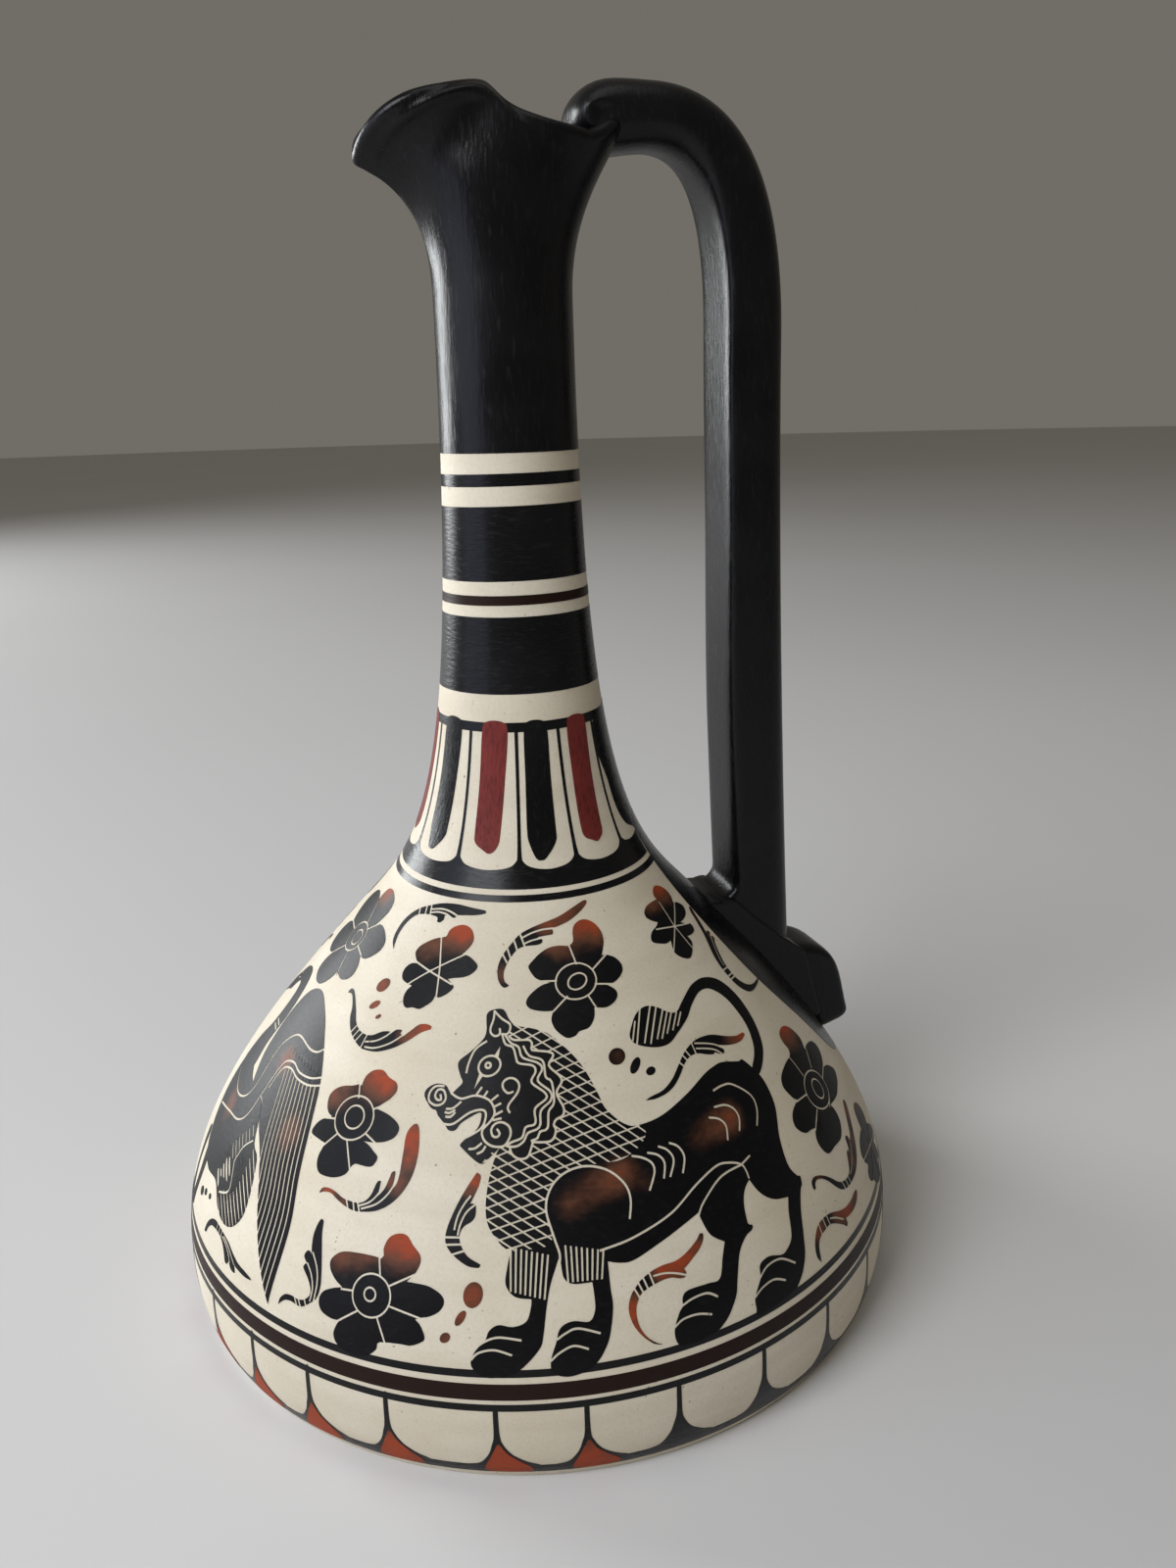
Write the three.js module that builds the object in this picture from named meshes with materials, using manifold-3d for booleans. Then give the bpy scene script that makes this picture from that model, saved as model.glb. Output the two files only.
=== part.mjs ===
// A conical pouring jug of painted clay: a broad belly, a long neck, a mouth pinched into three
// lobes, and a high strap handle that stands on a slanted root plate with a short tail.
// Millimetres, +Z up. The origin is the centre of the flat underside.
// The spout points along -X and the handle stands at +X.
import * as THREE from 'three';
import { mergeVertices } from 'three/addons/utils/BufferGeometryUtils.js';
import Module from 'manifold-3d';

const wasm = await Module();
wasm.setup();

const { clamp, degToRad, lerp } = THREE.MathUtils;

// Gap left where one clay piece is cut to the shape of its neighbour
const seatClearance = 0.3;

// Belly, up to the shoulder where the neck is luted on
const footRadius = 64.5;
const footTurn = 3.7;
const bellyRadius = 67.1;
const bellyHeight = 11;
const bellyRun = 13.5;
const coneRun = 50;
const shoulderRadius = 28.9;
const shoulderHeight = 73;
const shoulderLean = degToRad(43.3);
const bellyWall = 5;
const floorThickness = 6;

// Neck, from the shoulder to the start of the mouth
const neckLength = 103;
const neckRadius = 11.5;
const neckWall = 3;
const shoulderSweep = 15.5;
const neckRun = 78;

// Mouth, with its heights measured from the top of the neck
const spoutReach = 22.5;
const sideReach = 13;
const backReach = 18.7;
const spoutRise = 18.9;
const pinchRise = 29.4;
const backRise = 21.2;
const pinchAngle = degToRad(66.4);
const pinchDepth = 6.4;
const pinchSpread = degToRad(30.5);
const backFall = 2.3;
const spoutFlare = 0.79;
const backFlare = 0.62;
const lipWall = 2.6;

// Dent of the thumb in the wall below each pinch
const thumbAngle = degToRad(54);
const thumbSpread = degToRad(24);
const thumbShare = 0.66;
const thumbRun = 0.17;
const thumbDepth = 1.5;

// Handle, a strap with a rounded back that thins as it bends over the arch to a round end
const handleWidth = 13;
const gripThickness = 10.2;
const crownThickness = 9.6;
const endThickness = 9.4;
const innerCorner = 1.6;
const outerCorner = 3.6;
const endCorner = 4.4;
const handleReach = 43.6;
const seatDistance = 27.2;
const gripRun = 36;
const archDrop = 6;
const archRun = 24;
const crownRun = 12;
const crownReach = 25;
const crownLift = 7;
const endOverhang = 6.7;
const endLift = 6.2;
const endRound = 6.5;
const footFlare = 1.9;
const footHeight = 12.5;
const footRun = 6;

// Marks of finger and thumb on either side of the handle's end, where it was pressed on the rim
const markRadius = 7;
const markDepth = 1.2;
const markSetback = 3.2;
const markDrop = 0.3;

// Root plate, a plank of clay along the shoulder, and the tail that hangs at its lower end
const rootWidth = 15;
const rootThickness = 4.2;
const rootCorner = 1.6;
const rootLength = 24.5;
const rootOffset = 10.5;
const rootLean = degToRad(47);
const rootSink = 20;
const tailWidth = 13.5;
const tailThickness = 7.8;
const tailCorner = 2;
const tailReach = 5.3;
const tailDrop = 17.3;
const tailLean = degToRad(17);
const tailTurn = 5.2;
const tailKick = 5.5;
const tailFall = 9;
const tailRound = 2.8;

// Facets
const turnSegments = 60;
const mouthSegments = 64;
const footSteps = 4;
const wallSteps = 12;
const neckSteps = 12;
const flareSteps = 12;
const lipSteps = 4;
const cornerSteps = 3;
const handleSteps = 42;
const tailSteps = 14;
const roundSteps = 5;
const markSegments = 24;
const slope = 1e-3;

const neckTop = shoulderHeight + neckLength;
const blackSlip = { color: 0x17161a, roughness: 0.42, metalness: 0 };
const creamSlip = { color: 0xd9cdb0, roughness: 0.75, metalness: 0 };

// Outer wall as two spans that share their lean at the shoulder
const shoulder = new THREE.Vector2(shoulderRadius, shoulderHeight);
const upSlope = new THREE.Vector2(-Math.sin(shoulderLean), Math.cos(shoulderLean));
const bellyCurve = new THREE.CubicBezierCurve(
  new THREE.Vector2(bellyRadius, bellyHeight),
  new THREE.Vector2(bellyRadius, bellyHeight + bellyRun),
  shoulder.clone().addScaledVector(upSlope, -coneRun),
  shoulder,
);
const neckCurve = new THREE.CubicBezierCurve(
  shoulder,
  shoulder.clone().addScaledVector(upSlope, shoulderSweep),
  new THREE.Vector2(neckRadius, neckTop - neckRun),
  new THREE.Vector2(neckRadius, neckTop),
);
const footCurve = new THREE.QuadraticBezierCurve(
  new THREE.Vector2(footRadius, 0),
  new THREE.Vector2(bellyRadius, footTurn),
  new THREE.Vector2(bellyRadius, bellyHeight),
);

// The wall thins steadily from the floor to the top of the neck
function wallAt(height) {
  const share = (height - floorThickness) / (neckTop - floorThickness);
  return lerp(bellyWall, neckWall, share);
}

// Inner wall at the same heights as the outer one, so that the luting faces lie flat
function innerWall(curve, steps) {
  const points = [];
  for (let i = steps; i >= 0; i -= 1) {
    const outer = curve.getPoint(i / steps);
    const tangent = curve.getTangent(i / steps);
    const inset = wallAt(outer.y) / tangent.y;
    points.push(new THREE.Vector2(outer.x - inset, outer.y));
  }
  return points;
}

function turned(profile) {
  return new THREE.LatheGeometry(profile, turnSegments).rotateX(Math.PI / 2);
}

function bellyGeometry() {
  const inside = innerWall(bellyCurve, wallSteps);
  const lowest = inside[inside.length - 1];
  return turned([
    new THREE.Vector2(0, 0),
    ...footCurve.getPoints(footSteps),
    ...bellyCurve.getPoints(wallSteps).slice(1),
    ...inside,
    new THREE.Vector2(lowest.x - (bellyHeight - floorThickness), floorThickness),
    new THREE.Vector2(0, floorThickness),
  ]);
}

function neckGeometry() {
  const outside = neckCurve.getPoints(neckSteps);
  return turned([...outside, ...innerWall(neckCurve, neckSteps), outside[0]]);
}

// Skin through rings of equal length, closed round the last ring or capped at both ends
function loft(rings, closed) {
  const count = rings[0].length;
  const points = rings.flat();
  const index = [];
  const spans = closed ? rings.length : rings.length - 1;
  for (let i = 0; i < spans; i += 1) {
    const low = i * count;
    const high = ((i + 1) % rings.length) * count;
    for (let j = 0; j < count; j += 1) {
      const next = (j + 1) % count;
      index.push(low + j, low + next, high + next, low + j, high + next, high + j);
    }
  }
  if (!closed) {
    const last = points.length - count;
    for (const [start, flip] of [[0, true], [last, false]]) {
      const ring = points.slice(start, start + count);
      const centre = ring.reduce((sum, p) => sum.add(p), new THREE.Vector3()).divideScalar(count);
      points.push(centre);
      for (let j = 0; j < count; j += 1) {
        const pair = [start + j, start + ((j + 1) % count)];
        if (flip) pair.reverse();
        index.push(...pair, points.length - 1);
      }
    }
  }
  const geometry = new THREE.BufferGeometry().setFromPoints(points);
  geometry.setIndex(index);
  return geometry;
}

// The same turn to either side of the spout, from nothing to half a circle
function turnFromSpout(angle) {
  return Math.acos(Math.cos(angle));
}

// Plan of the rim: an egg drawn out to the spout, pressed in by a finger on either side
function rimRadius(angle) {
  const half = (spoutReach + backReach) / 4;
  const egg = half + sideReach / 2
    + (spoutReach - backReach) / 2 * Math.cos(angle)
    + (half - sideReach / 2) * Math.cos(2 * angle);
  const press = (turnFromSpout(angle) - pinchAngle) / pinchSpread;
  return egg - pinchDepth * Math.exp(-press * press);
}

// The rim is highest at the pinches and dips to the spout and to the handle
function rimRise(angle) {
  const turn = turnFromSpout(angle);
  if (turn < pinchAngle) {
    return lerp(spoutRise, pinchRise, Math.sin(Math.PI / 2 * turn / pinchAngle));
  }
  const fall = (turn - pinchAngle) / (Math.PI - pinchAngle);
  return lerp(backRise, pinchRise, (1 - fall) ** backFall);
}

// How far the thumb pressed the wall in
function thumbPress(angle, share) {
  const aside = (turnFromSpout(angle) - thumbAngle) / thumbSpread;
  const above = (share - thumbShare) / thumbRun;
  return thumbDepth * Math.exp(-aside * aside - above * above);
}

// Outside of the mouth at an angle from the spout and a share of the way up to the rim
function mouthPoint(angle, share) {
  const rim = new THREE.Vector2(rimRadius(angle), rimRise(angle));
  const flare = lerp(backFlare, spoutFlare, (1 + Math.cos(angle)) / 2);
  const p = new THREE.QuadraticBezierCurve(
    new THREE.Vector2(neckRadius, 0),
    new THREE.Vector2(neckRadius, flare * rim.y),
    rim,
  ).getPoint(share);
  const radius = p.x - thumbPress(angle, share);
  return new THREE.Vector3(-radius * Math.cos(angle), -radius * Math.sin(angle), neckTop + p.y);
}

// Outward and upward directions of the mouth's wall
function mouthFrame(angle, share) {
  const round = mouthPoint(angle + slope, share).sub(mouthPoint(angle - slope, share));
  const up = mouthPoint(angle, share + slope).sub(mouthPoint(angle, share - slope)).normalize();
  return { out: round.cross(up).normalize(), up };
}

// Once round the wall's section: up the outside, over the rounded lip and down the inside
function mouthSection(angle) {
  const outside = [];
  const inside = [];
  for (let i = 0; i <= flareSteps; i += 1) {
    const share = i / flareSteps;
    const p = mouthPoint(angle, share);
    outside.push(p);
    const { out } = mouthFrame(angle, share);
    inside.unshift(p.clone().addScaledVector(out, -lerp(neckWall, lipWall, share)));
  }
  const lip = [];
  const { out, up } = mouthFrame(angle, 1);
  const middle = outside[flareSteps].clone().addScaledVector(out, -lipWall / 2);
  for (let i = 1; i < lipSteps; i += 1) {
    const bend = Math.PI * i / lipSteps;
    lip.push(middle.clone()
      .addScaledVector(out, lipWall / 2 * Math.cos(bend))
      .addScaledVector(up, lipWall / 2 * Math.sin(bend)));
  }
  return [...outside, ...lip, ...inside].reverse();
}

function mouthAngles() {
  const angles = [];
  for (let i = 0; i < mouthSegments; i += 1) {
    angles.push(2 * Math.PI * i / mouthSegments - Math.PI);
  }
  return angles;
}

function mouthGeometry() {
  return loft(mouthAngles().map(mouthSection), true);
}

// The space that the mouth takes up, swollen by the clearance and closed over the rim
function mouthPlug() {
  const angles = mouthAngles();
  const rings = [];
  for (let i = 0; i <= flareSteps; i += 1) {
    const share = i / flareSteps;
    rings.push(angles.map((angle) => {
      const { out } = mouthFrame(angle, share);
      return mouthPoint(angle, share).addScaledVector(out, seatClearance);
    }));
  }
  for (const inset of [-seatClearance, lipWall]) {
    rings.push(angles.map((angle) => {
      const { out, up } = mouthFrame(angle, 1);
      return mouthPoint(angle, 1)
        .addScaledVector(out, -inset)
        .addScaledVector(up, lipWall / 2 + seatClearance);
    }));
  }
  return loft(rings, false);
}

// The space inside the belly's and the neck's outer walls, swollen by the clearance
function bodyPlug() {
  const profile = [new THREE.Vector2(0, bellyHeight)];
  for (const [curve, steps] of [[bellyCurve, wallSteps], [neckCurve, neckSteps]]) {
    for (let i = 0; i <= steps; i += 1) {
      const tangent = curve.getTangent(i / steps);
      const out = new THREE.Vector2(tangent.y, -tangent.x);
      profile.push(curve.getPoint(i / steps).addScaledVector(out, seatClearance));
    }
  }
  profile.push(new THREE.Vector2(0, neckTop));
  return turned(profile);
}

// Rounded rectangle as pairs of places across the width and the thickness, outer side first
function roundedSection(width, thickness, outer, inner = outer) {
  const points = [];
  for (let quarter = 0; quarter < 4; quarter += 1) {
    const signs = [[1, 1], [-1, 1], [-1, -1], [1, -1]][quarter];
    const corner = signs[1] > 0 ? outer : inner;
    for (let i = 0; i <= cornerSteps; i += 1) {
      const turn = (quarter + i / cornerSteps) * Math.PI / 2;
      points.push([
        signs[0] * (width / 2 - corner) + corner * Math.cos(turn),
        signs[1] * (thickness / 2 - corner) + corner * Math.sin(turn),
      ]);
    }
  }
  return points;
}

// Sweeps a section along a path in the XZ plane, rounding off the last stretch of the path.
// The round is fuller across the width than across the thickness.
function strap(path, sectionAt, stations, round) {
  const length = path.getLength();
  const shares = [];
  for (let i = 0; i <= stations; i += 1) {
    shares.push((1 - round / length) * i / stations);
  }
  for (let i = 1; i <= roundSteps; i += 1) {
    shares.push(1 - round / length * (1 - Math.sin(Math.PI / 2 * i / (roundSteps + 1))));
  }
  const across = new THREE.Vector3(0, -1, 0);
  return loft(shares.map((share) => {
    const p = path.getPointAt(share);
    const tangent = path.getTangentAt(share);
    const outward = new THREE.Vector3().crossVectors(tangent, across);
    const past = Math.max(0, 1 - (1 - share) * length / round);
    const thick = Math.sqrt(1 - past * past);
    const wide = Math.sqrt(thick);
    return sectionAt(share).map(([a, b]) => p.clone()
      .addScaledVector(across, a * wide)
      .addScaledVector(outward, b * thick));
  }), false);
}

function inPlane(x, z) {
  return new THREE.Vector3(x, 0, z);
}

// Where the handle is seated: a distance down the slope from the shoulder
const seat = bellyCurve.getPointAt(1 - seatDistance / bellyCurve.getLength());

// The handle's middle line: up the grip, over the arch and down to the back of the rim
function handlePath() {
  const rimHeight = neckTop + backRise;
  const archStart = neckTop - archDrop;
  const crown = inPlane(crownReach, rimHeight + crownLift);
  const archFoot = inPlane(handleReach, archStart);
  const end = inPlane(backReach - endOverhang, rimHeight + endLift);
  const endRun = (crownReach - end.x) / 2;
  const path = new THREE.CurvePath();
  path.add(new THREE.CubicBezierCurve3(
    inPlane(seat.x, seat.y),
    inPlane((seat.x + handleReach) / 2, seat.y + gripRun),
    inPlane(handleReach, archStart - gripRun),
    archFoot,
  ));
  path.add(new THREE.CubicBezierCurve3(
    archFoot,
    inPlane(handleReach, archStart + archRun),
    inPlane(crownReach + crownRun, crown.z),
    crown,
  ));
  path.add(new THREE.QuadraticBezierCurve3(crown, inPlane(crownReach - endRun, crown.z), end));
  return path;
}

// Lower end of the plank, on its middle line, and the direction that it runs in
const rootAlong = inPlane(Math.sin(rootLean), -Math.cos(rootLean));
const rootOut = inPlane(Math.cos(rootLean), Math.sin(rootLean));
const rootStart = inPlane(shoulderRadius, shoulderHeight)
  .addScaledVector(rootAlong, rootOffset)
  .addScaledVector(rootOut, rootThickness);
const rootEnd = rootStart.clone().addScaledVector(rootAlong, rootLength);

// The plank, grown on every side by the given amount, and sunk into the belly for its cut
function rootGeometry(grow) {
  const depth = rootThickness + rootSink;
  const section = roundedSection(rootWidth + 2 * grow, depth + 2 * grow, rootCorner + grow);
  const path = new THREE.LineCurve3(
    rootStart.clone().addScaledVector(rootOut, -depth / 2).addScaledVector(rootAlong, -grow),
    rootEnd.clone().addScaledVector(rootOut, -depth / 2).addScaledVector(rootAlong, grow),
  );
  return strap(path, () => section, 1, rootCorner);
}

// The tail's middle line: on from the plank's end, then bent down to a straight fall
function tailPath() {
  const start = rootEnd.clone().addScaledVector(rootOut, -tailThickness / 2);
  const end = inPlane(rootEnd.x + tailReach, rootEnd.z - tailDrop);
  const down = inPlane(Math.sin(tailLean), -Math.cos(tailLean));
  return new THREE.CubicBezierCurve3(
    start,
    start.clone().addScaledVector(rootAlong, tailTurn).addScaledVector(rootOut, tailKick),
    end.clone().addScaledVector(down, -tailFall),
    end,
  );
}

// A closed solid for cutting, from a geometry with its shared vertices merged
function solid(geometry) {
  const bare = geometry.clone();
  bare.deleteAttribute('normal');
  bare.deleteAttribute('uv');
  const merged = mergeVertices(bare);
  const corners = Array.from(merged.index.array);
  const triVerts = [];
  for (let i = 0; i < corners.length; i += 3) {
    const [a, b, c] = corners.slice(i, i + 3);
    if (a !== b && b !== c && c !== a) triVerts.push(a, b, c);
  }
  return new wasm.Manifold(new wasm.Mesh({
    numProp: 3,
    vertProperties: Float32Array.from(merged.attributes.position.array),
    triVerts: Uint32Array.from(triVerts),
  }));
}

function cut(geometry, ...cutters) {
  const left = cutters.reduce((piece, cutter) => piece.subtract(solid(cutter)), solid(geometry));
  const mesh = left.getMesh();
  const result = new THREE.BufferGeometry();
  result.setAttribute('position', new THREE.BufferAttribute(mesh.vertProperties, 3));
  result.setIndex(new THREE.BufferAttribute(mesh.triVerts, 1));
  return result;
}

// Section of the strap: even up the grip, thinned to the crown, then rounded to the end.
// At the foot it flares towards the neck.
function handleSection(path, share) {
  const [archAt, crownAt, endAt] = path.getCurveLengths();
  const distance = share * endAt;
  const thinned = clamp((distance - archAt) / (crownAt - archAt), 0, 1);
  const ended = clamp((distance - crownAt) / (endAt - crownAt), 0, 1);
  const thickness = lerp(lerp(gripThickness, crownThickness, thinned), endThickness, ended);
  const flare = footFlare * clamp(1 - (distance - footHeight) / footRun, 0, 1) ** 2;
  return roundedSection(
    handleWidth,
    thickness + flare,
    lerp(outerCorner, endCorner, ended),
    lerp(innerCorner, endCorner, ended),
  ).map(([a, b]) => [a, b - flare / 2]);
}

// A ball that dents one side of the handle's end
function fingerMark(side) {
  return new THREE.SphereGeometry(markRadius, markSegments, markSegments / 2).translate(
    backReach - endOverhang + markSetback,
    side * (handleWidth / 2 + markRadius - markDepth),
    neckTop + backRise + endLift - markDrop,
  );
}

function handleGeometry() {
  const path = handlePath();
  const blank = strap(path, (share) => handleSection(path, share), handleSteps, endRound);
  return cut(
    blank,
    bodyPlug(),
    rootGeometry(seatClearance),
    mouthPlug(),
    fingerMark(-1),
    fingerMark(1),
  );
}

function tailGeometry() {
  const section = roundedSection(tailWidth, tailThickness, tailCorner);
  const blank = strap(tailPath(), () => section, tailSteps, tailRound);
  return cut(blank, bodyPlug(), rootGeometry(seatClearance));
}

function piece(name, geometry, finish) {
  const mesh = new THREE.Mesh(geometry, new THREE.MeshStandardMaterial(finish));
  mesh.name = name;
  return mesh;
}

const jug = new THREE.Group();
jug.add(
  piece('belly', bellyGeometry(), creamSlip),
  piece('neck', neckGeometry(), creamSlip),
  piece('pinched_mouth', mouthGeometry(), blackSlip),
  piece('strap_handle', handleGeometry(), blackSlip),
  piece('handle_root', cut(rootGeometry(0), bodyPlug()), blackSlip),
  piece('handle_tail', tailGeometry(), blackSlip),
);

export default jug;
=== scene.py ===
import math

import bmesh
import bpy
from mathutils import Matrix, Vector
from mathutils.geometry import delaunay_2d_cdt, interpolate_bezier


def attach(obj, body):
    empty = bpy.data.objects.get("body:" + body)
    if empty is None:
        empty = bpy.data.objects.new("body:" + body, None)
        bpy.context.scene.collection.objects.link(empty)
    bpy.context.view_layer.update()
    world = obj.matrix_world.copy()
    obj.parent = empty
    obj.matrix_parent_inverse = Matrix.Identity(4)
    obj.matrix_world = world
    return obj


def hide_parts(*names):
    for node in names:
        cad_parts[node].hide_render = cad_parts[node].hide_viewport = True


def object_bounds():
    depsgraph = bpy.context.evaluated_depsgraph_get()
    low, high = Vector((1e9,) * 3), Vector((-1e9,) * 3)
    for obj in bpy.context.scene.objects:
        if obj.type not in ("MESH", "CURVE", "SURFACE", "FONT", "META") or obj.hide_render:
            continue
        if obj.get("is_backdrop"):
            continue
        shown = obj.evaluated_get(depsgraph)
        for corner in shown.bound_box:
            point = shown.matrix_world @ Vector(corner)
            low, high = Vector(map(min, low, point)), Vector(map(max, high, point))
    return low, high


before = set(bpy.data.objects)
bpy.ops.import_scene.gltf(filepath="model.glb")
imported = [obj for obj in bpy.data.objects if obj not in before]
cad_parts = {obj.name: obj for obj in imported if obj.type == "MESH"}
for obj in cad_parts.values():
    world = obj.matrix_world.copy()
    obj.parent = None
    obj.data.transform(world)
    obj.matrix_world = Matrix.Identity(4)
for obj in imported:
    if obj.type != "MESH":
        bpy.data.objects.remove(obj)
cad_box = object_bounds()

# Lengths are in millimetres and become metres when a vertex is placed
MM = 0.001

# Clay wall, the same sizes as the solids
FOOT_RADIUS = 64.5
FOOT_TURN = 3.7
BELLY_RADIUS = 67.1
BELLY_HEIGHT = 11
BELLY_RUN = 13.5
CONE_RUN = 50
SHOULDER_RADIUS = 28.9
SHOULDER_HEIGHT = 73
SHOULDER_LEAN = math.radians(43.3)
BELLY_WALL = 5
FLOOR_THICKNESS = 6
NECK_RADIUS = 11.5
NECK_TOP = 176
NECK_WALL = 3
SHOULDER_SWEEP = 15.5
NECK_RUN = 78

# Pinched mouth, heights from the top of the neck
SPOUT_REACH = 22.5
SIDE_REACH = 13
BACK_REACH = 18.7
SPOUT_RISE = 18.9
PINCH_RISE = 30
BACK_RISE = 20.6
PINCH_ANGLE = math.radians(60)
PINCH_DEPTH = 6.4
PINCH_SPREAD = math.radians(33)
PINCH_GRIP = 5
BACK_FALL = 2.2
FALL_PLACE = 0.3
SPOUT_FLARE = 0.79
BACK_FLARE = 0.5
LIP_WALL = 2.6
THUMB_ANGLE = math.radians(54)
THUMB_SPREAD = math.radians(24)
THUMB_SHARE = 0.7
THUMB_RUN = 0.17
THUMB_DEPTH = 1.5
ROLL_ANGLE = math.radians(58)
ROLL_SPREAD = math.radians(36)
ROLL_SHARE = 0.91
ROLL_RUN = 0.05
ROLL_DEPTH = 0.9
CURL_FROM = math.radians(140)
CURL_TO = math.radians(160)
CURL_RISE = 2.6
CURL_FLARE = 1.6
CURL_GRIP = 8

# Handle, root plank and tail
HANDLE_WIDTH = 13
GRIP_THICKNESS = 11.5
CROWN_THICKNESS = 10.6
END_THICKNESS = 12.2
FACE_DEPTH = 4.4
GRIP_SWELL = 0.8
SWELL_FROM = 0.4
SWELL_TO = 0.8
HANDLE_REACH = 43.6
SEAT_DISTANCE = 27.2
GRIP_RUN = 36
ARCH_START = 170
ARCH_RUN = 24
CROWN_REACH = 25
CROWN_RUN = 12
CROWN_HEIGHT = 203.5
END_REACH = 12
END_HEIGHT = 202
END_ROUND = 8
END_BLUNT = 3
FOOT_FLARE = 2.4
FOOT_HEIGHT = 17.2
FOOT_RUN = 2.8
FOOT_LIMIT = 6.5
MARK_RADIUS = 3
MARK_PLACE = Vector((15.6, 8.6, 202.8))
ROOT_WIDTH = 15
ROOT_SUNK = 1.2
ROOT_EDGE = 1.1
TAIL_WIDTH = 13.5
TAIL_THICKNESS = 8.2
TAIL_START = 0.8
TAIL_ROUND = 2.8

# How square a strip's section is: 2 is round and more is squarer
GRIP_BACK = 2.9
GRIP_FACE = 7
CROWN_BACK = 2.3
CROWN_FACE = 2.4
TAIL_CORNER = 6

# How far each coat lies under the solids' surface, so that the paint stays inside their size
CLAY_LIFT = -0.10
RING_LIFT = -0.055
TONGUE_LIFT = -0.045
PATCH_LIFT = -0.035
FIGURE_LIFT = -0.025
RED_LIFT = -0.015
FILM = 0.06

# Widths of the scratched lines
NEEDLE = 0.37
FINE_NEEDLE = 0.32
HAIR_NEEDLE = 0.26
PUPIL_NEEDLE = 0.4

# How finely lines and surfaces are divided
WALL_STEPS = 160
WALL_ROWS = 130
INSIDE_ROWS = 60
TURN_STEPS = 240
THROAT_ROWS = 14
MOUTH_ROWS = 44
LIP_ROWS = 7
MOUTH_STEPS = 192
PATH_STEPS = 60
STRAP_ROWS = 170
TAIL_ROWS = 60
ROUND_ROWS = 9
STRIP_STEPS = 96
RING_STEP = 1.5
BRUSH_STEP = 0.5
FILM_GRID = 1.8
WELD = 1e-4

# Edges that bend more than this stay sharp, on the wall with its paint and on the shaped pieces
WALL_CREASE = math.radians(50)
SHAPED_CREASE = math.radians(60)


def mixed(low, high, share):
    return low + (high - low) * share


def bent(start, corner, end):
    """A Bezier span that leaves towards a corner and comes from it."""
    share = 2 / 3
    return start, start.lerp(corner, share), end.lerp(corner, share), end


class Path:
    """A smooth line of Bezier spans, measured by the run along it."""

    def __init__(self, spans, steps):
        self.points = [spans[0][0]]
        for span in spans:
            self.points += interpolate_bezier(*span, steps)[1:]
        self.runs = [0.0]
        for low, high in zip(self.points, self.points[1:]):
            self.runs.append(self.runs[-1] + (high - low).length)

    def find(self, values, value):
        low, high = 0, len(values) - 1
        while high - low > 1:
            middle = (low + high) // 2
            if values[middle] <= value:
                low = middle
            else:
                high = middle
        share = (value - values[low]) / (values[high] - values[low])
        return low, share

    def at(self, run):
        """Point on the line and the direction along it."""
        low, share = self.find(self.runs, run)
        point = self.points[low].lerp(self.points[low + 1], share)
        before = self.points[max(low - 1, 0)]
        after = self.points[min(low + 2, len(self.points) - 1)]
        return point, (after - before).normalized()


class ClayWall(Path):
    """Outer wall of belly and neck, as radius and height by the run up from the foot's edge."""

    def __init__(self, spans, steps):
        super().__init__(spans, steps)
        self.heights = [point.y for point in self.points]

    def run_at(self, height):
        low, share = self.find(self.heights, height)
        return mixed(self.runs[low], self.runs[low + 1], share)


def clay_wall():
    foot = Vector((FOOT_RADIUS, 0))
    turn = Vector((BELLY_RADIUS, FOOT_TURN))
    belly = Vector((BELLY_RADIUS, BELLY_HEIGHT))
    shoulder = Vector((SHOULDER_RADIUS, SHOULDER_HEIGHT))
    up = Vector((-math.sin(SHOULDER_LEAN), math.cos(SHOULDER_LEAN)))
    neck = Vector((NECK_RADIUS, NECK_TOP))
    return ClayWall([
        bent(foot, turn, belly),
        (belly, belly + Vector((0, BELLY_RUN)), shoulder - up * CONE_RUN, shoulder),
        (shoulder, shoulder + up * SHOULDER_SWEEP, neck - Vector((0, NECK_RUN)), neck),
    ], WALL_STEPS)


WALL = clay_wall()


def wall_point(turn, run, lift):
    """A point on the wall at an angle round the axis, in metres."""
    point, up = WALL.at(run)
    radius = point.x + up.y * lift
    height = max(point.y - up.x * lift, 0)
    return Vector((radius * math.cos(turn), radius * math.sin(turn), height)) * MM


class Chart:
    """A patch of the wall unrolled about one point: x to the right and y up, in mm."""

    def __init__(self, azimuth, height, flip=1):
        self.turn = math.radians(azimuth) * flip
        self.flip = flip
        self.run = WALL.run_at(height)
        point, up = WALL.at(self.run)
        self.cone = -up.x
        self.apex = point.x / self.cone

    def wrap(self, x, y, lift):
        reach = math.hypot(x, self.apex - y)
        swing = math.atan2(x * self.flip, self.apex - y) / self.cone
        return wall_point(self.turn + swing, self.run + self.apex - reach, lift)


class Band:
    """The whole way round the wall: x is the azimuth in degrees and y the height in mm."""

    flip = 1

    def wrap(self, x, y, lift):
        return wall_point(math.radians(x), WALL.run_at(y), lift)


# Mesh helpers

def spun(rows, steps, place, closed):
    """A net spun from an upright line of rows, each vertex then put in its place."""
    bm = bmesh.new()
    line = [bm.verts.new((1, 0, row)) for row in range(rows)]
    edges = [bm.edges.new(pair) for pair in zip(line, line[1:])]
    if closed:
        edges.append(bm.edges.new((line[-1], line[0])))
    bmesh.ops.spin(bm, geom=line + edges, cent=(0, 0, 0), axis=(0, 0, 1),
                   angle=2 * math.pi, steps=steps, use_merge=True)
    for vert in bm.verts:
        vert.co = place(round(vert.co.z), math.atan2(vert.co.y, vert.co.x))
    bmesh.ops.remove_doubles(bm, verts=bm.verts[:], dist=WELD * MM)
    bmesh.ops.recalc_face_normals(bm, faces=bm.faces[:])
    return bm


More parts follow.
